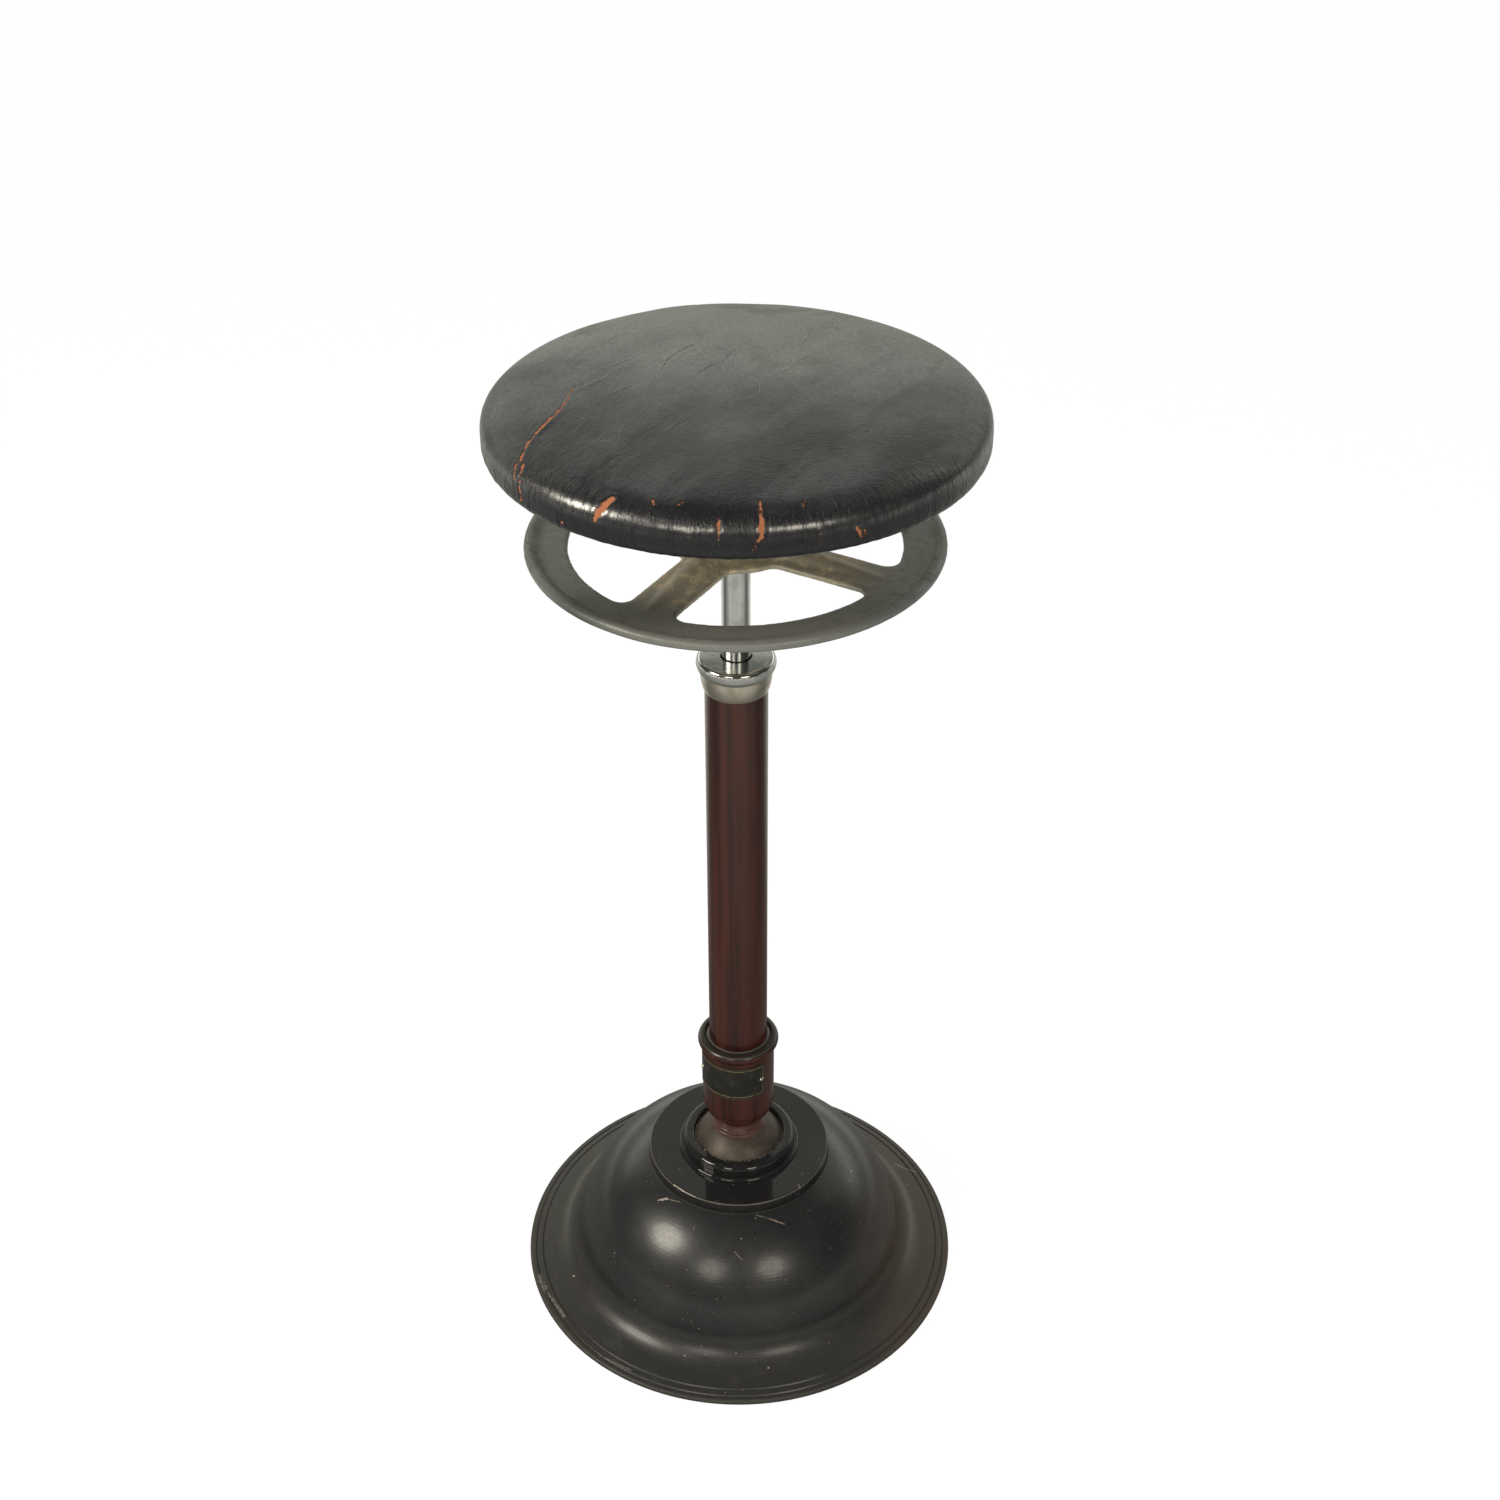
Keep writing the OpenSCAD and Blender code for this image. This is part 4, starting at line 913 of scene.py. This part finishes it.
# Marks in the hide, as (degrees round the seat, millimetres out from its middle along the
# hide). A split has a half width at each point, in millimetres; a crease has one depth.
SPLITS = [
    ([(178.3, 101.4), (-170.6, 106.3), (-164.1, 113.1), (-160.7, 119.4), (-158.0, 125.5), (-154.4, 135.2)],
     [0.0, 0.45, 0.75, 0.7, 0.95, 0.5]),
    ([(-154.4, 135.2), (-151.2, 144.7), (-148.3, 151.3), (-146.9, 156.0)], [0.35, 0.8, 0.45, 0.75]),
    ([(-145.0, 156.7), (-144.1, 161.2), (-142.9, 167.9)], [0.5, 0.8, 0.2]),
    ([(-147.1, 158.7), (-145.8, 165.1), (-145.1, 171.5)], [0.2, 0.5, 0.15]),
    ([(-143.6, 168.8), (-142.8, 174.5), (-142.7, 180.6)], [0.35, 0.8, 0.2]),
    ([(-120.8, 171.7), (-119.9, 166.9), (-118.8, 159.9), (-117.8, 154.6)], [0.7, 2.1, 2.3, 1.5]),
    ([(-130.4, 178.2), (-129.1, 180.4)], [0.5, 0.5]),
    ([(-93.4, 158.8), (-93.5, 164.9), (-93.6, 177.3)], [0.12, 0.45, 0.08]),
    ([(-93.5, 162.5), (-93.4, 165.7)], [0.85, 1.15]),
    ([(-84.3, 145.1), (-84.5, 153.8), (-84.7, 161.7)], [0.1, 0.75, 0.8]),
    ([(-84.6, 159.8), (-84.7, 165.9), (-84.5, 170.3)], [1.1, 1.75, 0.9]),
    ([(-84.9, 169.8), (-85.9, 175.5), (-86.3, 179.0)], [0.5, 0.3, 0.05]),
    ([(-74.8, 151.1), (-75.2, 154.8)], [0.55, 0.3]),
    ([(-72.4, 172.1), (-72.4, 174.2), (-72.3, 180.4)], [0.5, 0.55, 0.12]),
    ([(-64.5, 172.3), (-63.8, 176.0), (-63.3, 179.8)], [0.45, 0.95, 0.3]),
    ([(-62.7, 175.0), (-62.1, 179.1)], [0.55, 0.35]),
    ([(-76.7, 178.1), (-76.8, 180.8)], [0.3, 0.15]),
    ([(-80.7, 179.5), (-80.7, 182.3)], [0.3, 0.12]),
    ([(-108.8, 150.0), (-107.9, 153.6)], [0.3, 0.25]),
    ([(-102.8, 151.4), (-101.6, 149.1)], [0.3, 0.15]),
    ([(-99.6, 171.2), (-99.5, 174.2)], [0.25, 0.15]),
]
CREASES = [
    ([(155.0, 79.5), (162.9, 82.5), (167.4, 84.2), (171.7, 86.2), (175.8, 93.5), (178.3, 101.4)], 0.9),
    ([(178.3, 101.4), (-164.1, 113.1), (-158.0, 125.5), (-151.2, 144.7), (-146.9, 156.0)], 1.1),
    ([(171.7, 86.2), (-177.5, 102.3), (-174.9, 108.6), (-172.8, 115.1)], 0.7),
    ([(157.2, 52.6), (147.1, 54.8), (136.8, 59.2), (122.1, 64.6), (109.5, 69.9)], 0.7),
    ([(161.0, 28.8), (134.2, 30.0), (112.4, 34.9)], 0.6),
    ([(-168.0, 84.4), (-174.1, 74.6), (177.7, 63.2)], 0.55),
    ([(-128.8, 83.3), (-131.4, 74.0), (-136.6, 62.7)], 0.35),
    ([(-146.6, 34.3), (-163.7, 25.5)], 0.35),
    ([(61.0, 115.9), (58.3, 96.9), (53.6, 77.0)], 0.5),
    ([(61.5, 52.2), (60.3, 43.7)], 0.4),
    ([(47.8, 22.2), (41.8, 11.8), (-97.8, 22.4)], 0.5),
    ([(148.6, 26.6), (103.0, 36.2), (85.8, 59.1)], 0.4),
    ([(-87.8, 148.7), (-81.1, 152.3), (-75.2, 154.4), (-71.4, 154.7)], 0.25),
    ([(-146.8, 117.2), (-150.1, 108.8), (-153.6, 101.7)], 0.4),
    ([(-122.8, 80.7), (-123.1, 61.7), (-121.5, 45.9)], 0.5),
    ([(-130.3, 110.8), (-134.9, 98.0), (-140.6, 86.4)], 0.35),
    ([(168.5, 84.6), (147.8, 80.3)], 0.6),
    ([(30.9, 37.6), (41.8, 56.8), (41.6, 76.2)], 0.35),
    ([(-138.3, 152.6), (-133.0, 152.9), (-128.8, 151.5)], 0.3),
]
# Dents: degrees round, millimetres out, depth and half width in millimetres
DENTS = [
    (177.9, 144.8, 0.7, 2.2), (59.9, 85.1, 0.5, 5.0), (57.3, 118.9, 0.8, 3.5),
    (34.8, 135.6, 0.7, 4.0), (29.1, 107.2, 0.4, 6.0), (5.6, 90.4, 0.5, 7.0), (76.6, 72.3, 0.4, 6.0),
]


# Seat

def hide_outline(hide, inset=0.0):
    """Half outline (r, z) of the stuffed seat from the crown's middle to the lap's edge,
    moved inwards by inset: (r / a) ^ crown power + (z / c) ^ shoulder power = 1 for the half
    width a and the rise c above the widest level, then the lower arc and the flat lap."""
    low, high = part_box("seat_leather")
    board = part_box("seat_board")[1].x
    widest = low.z + hide.side
    turn = np.radians(np.linspace(90, 0, CROWN_POINTS))
    return np.concatenate([
        np.stack([(high.x - inset) * np.cos(turn) ** (2 / hide.crown_power),
                  widest + (high.z - widest - inset) * np.sin(turn) ** (2 / hide.side_power)], -1),
        arc((high.x - hide.lower, low.z + hide.lower), hide.lower - inset, 0, -90, 24),
        [[board - hide.lap, low.z + inset]],
    ])


def spaced(outline, places):
    """Points of the outline at the given distances along it."""
    along = length_along(outline)
    return np.stack([np.interp(places, along, outline[:, k]) for k in (0, 1)], -1)


def square_grid(count):
    """Angle and share of the way out for each point of a square grid laid on a disc: the
    share is the larger of |u| and |v|, and the angle runs evenly along the square's sides."""
    side = np.linspace(-1, 1, count)
    u, v = np.meshgrid(side, side, indexing="ij")
    east = np.abs(u) >= np.abs(v)
    turn = np.where(east, np.pi / 4 * v / np.where(u == 0, 1, u),
                    np.pi / 2 - np.pi / 4 * u / np.where(v == 0, 1, v))
    turn = np.where(np.where(east, u, v) < 0, turn + np.pi, turn)
    return turn, np.maximum(np.abs(u), np.abs(v))


def read_square(values, turn, share):
    """Values of the square grid at other angles and shares, by straight mixing of the four
    grid points around each."""
    count = len(values)
    turn = np.mod(turn + np.pi / 4, 2 * np.pi)
    side = np.floor(turn / (np.pi / 2)).astype(int) % 4
    slide = share * ((turn - side * np.pi / 2) / (np.pi / 4) - 1)
    u = np.choose(side, [share, -slide, -share, slide])
    v = np.choose(side, [slide, share, -slide, -share])
    a, b = (np.clip((w + 1) / 2 * (count - 1), 0, count - 1.001) for w in (u, v))
    i, j = a.astype(int), b.astype(int)
    a, b = a - i, b - j
    return ((values[i, j] * (1 - a) + values[i + 1, j] * a) * (1 - b)
            + (values[i, j + 1] * (1 - a) + values[i + 1, j + 1] * a) * b)


def stretched_hide(hide, outline, count=74):
    """Lets the stuffing push a coarse cloth outwards, held along its lap, and returns how
    far each grid point of the crown stands above or below the outline."""
    end = length_along(outline)[-1]
    turn, share = square_grid(count)
    start = spaced(outline, (share * end).ravel())
    start[:, 1] -= 0.001 * (1 - share.ravel() ** 4)
    points = round_axis(start[:, 0], turn.ravel(), start[:, 1])
    points += ripples(points, 0.05, seed=3)[:, None] * np.array([0, 0, 0.0004])
    number = np.arange(count * count).reshape(count, count)
    faces = np.stack([number[:-1, :-1], number[1:, :-1], number[1:, 1:], number[:-1, 1:]], -1)
    cloth = new_object("cloth", points.tolist(), faces.reshape(-1, 4).tolist())
    held = cloth.vertex_groups.new(name="held")
    held.add(np.flatnonzero(share.ravel() > 1 - 0.012 / end).tolist(), 1.0, "REPLACE")
    work = cloth.modifiers.new("Cloth", "CLOTH").settings
    work.vertex_group_mass = "held"
    work.use_pressure = True
    work.uniform_pressure_force = hide.pressure
    work.tension_stiffness = work.compression_stiffness = 25
    work.effector_weights.gravity = 0
    scene = bpy.context.scene
    for step in range(1, 21):
        scene.frame_set(step)
    moved = read_points(cloth.evaluated_get(bpy.context.evaluated_depsgraph_get()).data)
    scene.frame_set(1)
    bpy.data.objects.remove(cloth)

    # only the lift of the crown is kept, less its mean at each distance from the middle
    dome = outline[:CROWN_POINTS - 25]
    level = np.interp(np.hypot(moved[:, 0], moved[:, 1]), dome[:, 0], dome[:, 1])
    off = np.where(share < SHAPED, (moved[:, 2] - level).reshape(count, count), 0)
    ring = np.round(share * 40).astype(int)
    mean = np.bincount(ring.ravel(), off.ravel()) / np.maximum(np.bincount(ring.ravel()), 1)
    off = (off - mean[ring]) * np.clip((SHAPED - share) / 0.12, 0, 1)
    return np.clip(off, -hide.slack, hide.slack)


def on_hide(outline, marks):
    """Points in space for marks given as degrees round and millimetres out, with three more
    between each two, and each point's place in the list of marks."""
    marks = np.array(marks, float)
    given = np.arange(len(marks))
    steps = np.linspace(0, len(marks) - 1, (len(marks) - 1) * 4 + 1)
    turn = np.interp(steps, given, np.radians(np.unwrap(marks[:, 0], period=360)))
    out = spaced(outline, np.interp(steps, given, marks[:, 1]) * MM)
    return round_axis(out[:, 0], turn, out[:, 1]), steps


def make_hide(hide):
    """One stretched hide: the outline turned round the axis, lifted along its normal by the
    simulated slack, creases, split lips, dents and pleats, then closed by its inner face."""
    outline = hide_outline(hide)
    end = length_along(outline)[-1]
    # distances along the hide in metres, wide on the crown and close from the shoulder on
    places = np.concatenate([np.linspace(1.5 * MM, 0.128, 92), np.linspace(0.1292, end, 68)])
    rings = turned(spaced(outline, places), hide.sectors)
    flat = rings.reshape(-1, 3)
    way = spaced(outline, places + 0.0004) - spaced(outline, places - 0.0004)
    way /= np.linalg.norm(way, axis=1)[:, None]
    normal = round_axis(-way[:, 1, None], all_round(hide.sectors), way[:, 0, None])
    reach, turn = np.repeat(places, hide.sectors), np.tile(all_round(hide.sectors), len(places))
    wrap = round_axis(WRAP_RADIUS, turn, reach)

    lift = ripples(flat, 0.09, seed=5) * 0.0005 * np.clip((0.165 - reach) / 0.03, 0, 1)
    lift += read_square(stretched_hide(hide, outline), turn, reach / end)
    tear = np.full(len(flat), FAR)
    for marks, wide in SPLITS:
        path, steps = on_hide(outline, marks)
        widths = np.interp(steps, np.arange(len(wide)), wide) * MM
        tear = np.minimum(tear, nearest_on(flat, path, widths))
    lift += 0.0003 * hump(tear - 0.0016, 0.0011) - 0.0003 * (tear < 0.0004)
    crease, fold = np.full(len(flat), FAR), np.zeros(len(flat))
    for marks, depth in CREASES:
        off, share = beside(flat, on_hide(outline, marks)[0])
        ends = np.clip(np.minimum(share, 1 - share) * 6, 0, 1)
        strong = depth * ends * hump(off, 0.004)
        crease = np.where(strong > fold, off, crease)
        fold = np.maximum(fold, strong)
        lift += depth * MM * ends * (
            0.22 * hump(off - 0.0022, 0.0024) - 0.22 * hump(off + 0.0016, 0.0020))
    for angle, out, depth, width in DENTS:
        spot = on_hide(outline, [(angle, out), (angle, out)])[0][0]
        lift -= depth * MM * hump(np.linalg.norm(flat - spot, axis=1), width * MM)
    # the stuffing sits a little off centre and bulges at the front right
    from_bulge = np.mod(turn + 0.57 + np.pi, 2 * np.pi) - np.pi
    bulge = 0.0009 * np.cos(turn) + 0.0010 * hump(from_bulge, 0.5)
    lift += bulge * np.clip((reach - 0.120) / 0.045, 0, 1) * np.clip((end - reach) / 0.03, 0, 1)
    # short vertical folds across the side, and gathers under the board
    side = np.clip((reach - SIDE_START) / 0.02, 0, 1) * np.clip((end - reach) / 0.006, 0, 1)
    lift += side * ripples(wrap * (1, 1, 0.12), 0.0085, seed=11, count=14) * 0.00022
    under = np.clip((reach - end + 0.020) / 0.008, 0, 1)
    lift -= under * 0.0004 * (0.5 + 0.5 * np.cos(turn * GATHERS))

    outer = flat + normal.reshape(-1, 3) * lift[:, None]
    back = hide_outline(hide, hide.thickness)
    inner = turned(spaced(back, np.linspace(length_along(back)[-1], 0.004, 26)), hide.sectors)
    rings = np.concatenate([outer.reshape(rings.shape), inner])
    points, faces = skin(rings, first=(0, 0, outline[0, 1]), last=(0, 0, back[0, 1]))
    piece = put_piece("seat_hide", points, faces, finish("Black Hide", hide_finish, hide),
                      "seat", ["seat_leather"])
    inside = len(points) - len(flat)
    for name, values, rest in (("tear", tear, FAR), ("crease", crease, FAR), ("fold", fold, 0.0)):
        layer = piece.data.attributes.new(name, "FLOAT", "POINT")
        values = np.concatenate([values, np.full(inside, rest)])
        layer.data.foreach_set("value", values.astype(np.float32))
    layer = piece.data.attributes.new("wrap", "FLOAT_VECTOR", "POINT")
    wrap = np.concatenate([wrap, points[len(flat):] * 0.5])
    layer.data.foreach_set("vector", wrap.astype(np.float32).ravel())


def make_hair(hide):
    """Stuffing: the seat's outline moved in by a little more than the hide, closed by its
    flat underside on the board, with a lumpy surface."""
    outline = hide_outline(hide, hide.thickness + 0.45 * MM)
    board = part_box("seat_board")[1]
    top = board.z + 0.0003
    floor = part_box("seat_padding")[0].z
    outline = outline[outline[:, 1] > floor + 0.001]
    edge = board.x + 0.5 * MM
    foot = np.array([[outline[-1, 0], floor + 0.0006], [edge, floor + 0.0002],
                     [edge, top], [edge - 0.02, top]])
    rings = turned(np.concatenate([outline[4::2], foot]), 144)
    lumps = ripples(rings.reshape(-1, 3), 0.012, seed=21, count=16).reshape(*rings.shape[:2], 1)
    inward = rings / np.linalg.norm(rings * (1, 1, 0), axis=-1)[..., None] * (1, 1, 0)
    grown = np.clip(lumps, -1, 0) * 0.0009 * (rings[..., 2:] > board.z + 0.001)
    rings = rings + (inward * 0.5 + np.array([0, 0, 0.85])) * grown
    points, faces = skin(rings, first=(0, 0, outline[0, 1]), last=(0, 0, top))
    piece = put_piece("seat_hair", points, faces, finish("Curled Hair", hair_finish), "seat",
                      ["seat_padding"])


# Hand wheel and collar

def make_wheel(metal):
    """The wheel's own solid, remade of small even cells and smoothed, so that every edge
    and hollow has the soft radius of a casting; then pressed slightly uneven."""
    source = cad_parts["hand_wheel"].data.copy()
    work = bmesh.new()
    work.from_mesh(source)
    bmesh.ops.remove_doubles(work, verts=work.verts, dist=2e-6)
    bmesh.ops.recalc_face_normals(work, faces=work.faces)
    work.to_mesh(source)
    work.free()
    rough = bpy.data.objects.new("rough_wheel", source)
    bpy.context.scene.collection.objects.link(rough)
    cells = rough.modifiers.new("Cells", "REMESH")
    cells.mode, cells.voxel_size = "VOXEL", metal.wheel_cell
    soft = rough.modifiers.new("Soft", "SMOOTH")
    soft.factor, soft.iterations = 0.5, metal.wheel_soften
    shown = rough.evaluated_get(bpy.context.evaluated_depsgraph_get())
    mesh = bpy.data.meshes.new_from_object(shown)
    bpy.data.objects.remove(rough)
    points = read_points(mesh)
    faces = [tuple(face.vertices) for face in mesh.polygons]
    # the hub stays true, because the spindle runs through it
    outside_hub = np.hypot(points[:, 0], points[:, 1]) > 0.25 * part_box("hand_wheel")[1].x
    points[:, 2] += ripples(points, 0.045, seed=31) * 0.00016 * outside_hub
    put_piece("cast_hand_wheel", points, faces,
              finish("Cast Wheel Metal", wheel_finish, metal), "spindle",
              ["hand_wheel"])


def make_knurl(metal):
    """Knurled band: the collar's side r(t) = foot + flare t + 4 bulge t (1 - t) for t from 0
    at the bottom to 1, raised by the lesser of two slanted triangle waves, which cross in
    diamonds."""
    low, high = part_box("knurled_collar")
    bottom, tall = low.z, 8.3 * MM
    foot, flare, bulge = high.x - 2.1 * MM, 1.6 * MM, 1.2 * MM
    first, last = 0.06, 0.985
    steps = metal.knurl_teeth * 6
    t = np.linspace(first, last, 44)[:, None]
    turn = (np.arange(steps) / steps)[None, :]
    radius = foot + flare * t + 4 * bulge * t * (1 - t)
    climb = tall * t / (2 * np.pi * high.x) * metal.knurl_teeth
    waves = [np.abs(np.mod(turn * metal.knurl_teeth + way * climb, 1.0) * 2 - 1) for way in (1, -1)]
    ridge = np.minimum(*waves)
    fade = np.clip(np.minimum(t - first, last - t) / 0.07, 0, 1)
    outer = radius + (ridge * metal.knurl_depth - 0.05 * MM) * fade + 0.02 * MM
    inner = radius[::-1] - 0.25 * MM + 0 * turn
    z = bottom + tall * np.concatenate([t, t[::-1]])
    rings = round_axis(np.concatenate([outer, inner]), turn * 2 * np.pi, z)[::-1]
    points, faces = skin(rings, joined=True)
    nickel = finish("Knurled Nickel", plated, tuple(metal.nickel), 0.24, 0.42, (1, 1, 1), 0.7)
    put_piece("knurl_band", points, faces, nickel, "collar")


# Operators

class STOOL_OT_stage(bpy.types.Operator):
    """Sets the camera, the soft lamps, the white surroundings and the pale floor"""

    bl_idname = "stool.stage"
    bl_label = "Stage"

    def execute(self, context):
        scene = context.scene
        studio = scene.stool_studio
        scene.view_settings.view_transform = "Standard"
        camera = bpy.data.objects.new("Camera", bpy.data.cameras.new("Camera"))
        camera.data.lens, camera.data.sensor_width = studio.lens, 36.0
        camera.data.shift_x = studio.shift
        camera.matrix_world = (
            Matrix.Translation((0, -studio.camera_away, studio.camera_height))
            @ Matrix.Rotation(math.pi / 2 - studio.camera_pitch, 4, "X")
            @ Matrix.Rotation(studio.camera_roll, 4, "Z"))
        scene.collection.objects.link(camera)
        scene.camera = camera
        lamp_away = 2.4
        # bearing from +Y towards +X, height angle, width, share of power, seen in gloss
        for name, bearing, up, wide, share, mirrored in (
                ("Main", -114, 40, 0.90, 1.12, True), ("Left", -159, 33.5, 0.72, 0.29, True),
                ("Right", 155, 34, 0.74, 0.33, True), ("Above", 0, 83, 1.30, 0.36, False)):
            lamp = bpy.data.lights.new(name, "AREA")
            lamp.shape, lamp.size = "DISK", wide
            lamp.energy, lamp.color = studio.lamp_power * share, studio.lamp_colour
            holder = bpy.data.objects.new(name, lamp)
            a, e = math.radians(bearing), math.radians(up)
            spot = np.array([math.sin(a) * math.cos(e), math.cos(a) * math.cos(e), math.sin(e)])
            holder.matrix_world = (
                Matrix.Translation(spot * lamp_away)
                @ Matrix.Rotation(-a, 4, "Z") @ Matrix.Rotation(math.pi / 2 + e, 4, "X")
                @ Matrix.Rotation(math.pi, 4, "Y"))
            holder.visible_glossy = mirrored
            scene.collection.objects.link(holder)
        world = bpy.data.worlds.new("Studio")
        world.use_nodes = True
        world.node_tree.nodes.clear()
        studio_world(Nodes(world.node_tree), studio.fill)
        scene.world = world
        half = 12.0
        corners = [(-half, -half, 0), (half, -half, 0), (half, half, 0), (-half, half, 0)]
        floor = new_object("floor", corners, [(0, 1, 2, 3)])
        floor.data.materials.append(finish("Studio Floor", floor_finish))
        return {"FINISHED"}


class STOOL_OT_base(bpy.types.Operator):
    """Paints the bell, the cover disc and the retaining ring, and finishes the foot's felt"""

    bl_idname = "stool.base"
    bl_label = "Bell Base"

    def execute(self, context):
        paint = context.scene.stool_paint
        dress("base_bell", "Old Black Paint", bell_paint, paint)
        dress("cover_disc retainer_ring", "Gloss Black Paint", gloss_paint, paint)
        dress("floor_ring", "Felt", felt_finish)
        return {"FINISHED"}


class STOOL_OT_column(bpy.types.Operator):
    """Finishes the ball and socket casting, its blank plate and the painted tube"""

    bl_idname = "stool.column"
    bl_label = "Column"

    def execute(self, context):
        paint = context.scene.stool_paint
        dress("column_socket", "Ball And Socket", socket_paint, paint)
        dress("column_tube", "Mahogany Enamel", tube_paint, paint)
        dress("socket_plate", "Plate Black And Gilt", plate_finish, paint)
        dress("plate_pins", "Plate Pins", plated, (0.80, 0.76, 0.64), 0.22, 0.40, (1, 1, 1))
        return {"FINISHED"}


class STOOL_OT_nickel(bpy.types.Operator):
    """Finishes the ferrule, the clamp collar and the spindle, and cuts the knurl"""

    bl_idname = "stool.nickel"
    bl_label = "Nickel Parts"

    def execute(self, context):
        metal = context.scene.stool_metal
        bright, old = tuple(metal.nickel), tuple(metal.old_nickel)
        dress("knurled_collar", "Bright Nickel", plated, bright, 0.10, 0.22, (1, 1, 1), 0.35)
        dress("ferrule", "Dull Nickel", plated, old, 0.30, 0.46, (1, 1, 0.3), 0.8)
        dress("spindle", "Drawn Nickel", plated, bright, 0.18, 0.34, (1, 1, 0.03), 0.5)
        make_knurl(metal)
        return {"FINISHED"}


class STOOL_OT_wheel(bpy.types.Operator):
    """Makes the soft-edged cast hand wheel"""

    bl_idname = "stool.wheel"
    bl_label = "Hand Wheel"

    def execute(self, context):
        make_wheel(context.scene.stool_metal)
        return {"FINISHED"}


class STOOL_OT_inner_parts(bpy.types.Operator):
    """Finishes the parts that are inside or under the stool"""

    bl_idname = "stool.inner_parts"
    bl_label = "Inner Parts"

    def execute(self, context):
        steel = tuple(context.scene.stool_metal.steel)
        # nodes, name, colour, roughness, stain, then depth of the skin and share of metal
        for nodes, name, *values in (
                ("cup_bolts drawbolt drawbolt_nut cotter_pin spring_washer stop_washer stop_pin "
                 "wheel_pin lower_race upper_race top_washer top_nut seat_screws",
                 "Machined Steel", steel, 0.28, (0.12, 0.085, 0.055)),
                ("bearing_balls",
                 "Bearing Steel", (0.52, 0.52, 0.51), 0.10, (0.30, 0.28, 0.25), 0.000002),
                ("spindle_nut guide_bush collet ball_cage",
                 "Bronze", (0.44, 0.27, 0.11), 0.30, (0.16, 0.085, 0.04)),
                ("ball_cup seat_plate",
                 "Raw Cast Iron", (0.10, 0.098, 0.094), 0.55, (0.075, 0.05, 0.035), 0.00025, 0.6),
                ("draw_spring",
                 "Spring Steel", (0.20, 0.19, 0.18), 0.34, (0.09, 0.06, 0.04), 0.00001),
                ("seat_tacks",
                 "Blued Tacks", (0.09, 0.09, 0.10), 0.42, (0.08, 0.05, 0.03), 0.00004)):
            dress(nodes, name, plain_metal, *values)
        dress("ball_liner", "Oiled Leather", liner_finish)
        dress("seat_board", "Seat Board Wood", wood_finish)
        return {"FINISHED"}


class STOOL_OT_seat(bpy.types.Operator):
    """Makes the stretched hide with its splits and wrinkles, and the hair under it"""

    bl_idname = "stool.seat"
    bl_label = "Seat"

    def execute(self, context):
        hide = context.scene.stool_hide
        make_hide(hide)
        make_hair(hide)
        return {"FINISHED"}


OPERATORS = (
    STOOL_OT_stage, STOOL_OT_base, STOOL_OT_column, STOOL_OT_nickel,
    STOOL_OT_wheel, STOOL_OT_inner_parts, STOOL_OT_seat,
)


class STOOL_PT_panel(bpy.types.Panel):
    """Lists the steps that dress the stool"""

    bl_label = "Dental Stool"
    bl_idname = "STOOL_PT_panel"
    bl_space_type = "VIEW_3D"
    bl_region_type = "UI"
    bl_category = "Stool"

    def draw(self, context):
        for step in OPERATORS:
            self.layout.operator(step.bl_idname)
        for name in SETTINGS:
            settings = getattr(context.scene, name)
            box = self.layout.box()
            for key in settings.__annotations__:
                box.prop(settings, key)


def register():
    """Registers the classes and hangs the settings on the scene."""
    for kind in (*SETTINGS.values(), *OPERATORS, STOOL_PT_panel):
        bpy.utils.register_class(kind)
    for name, kind in SETTINGS.items():
        setattr(bpy.types.Scene, name, PointerProperty(type=kind))


def unregister():
    """Takes the settings and the classes away again."""
    for name in SETTINGS:
        delattr(bpy.types.Scene, name)
    for kind in (STOOL_PT_panel, *OPERATORS, *SETTINGS.values()):
        bpy.utils.unregister_class(kind)


def main():
    """Registers the classes, dresses the stool step by step and writes both boxes."""
    register()
    for step in OPERATORS:
        group, name = step.bl_idname.split(".")
        getattr(getattr(bpy.ops, group), name)()


if __name__ == "__main__":
    main()
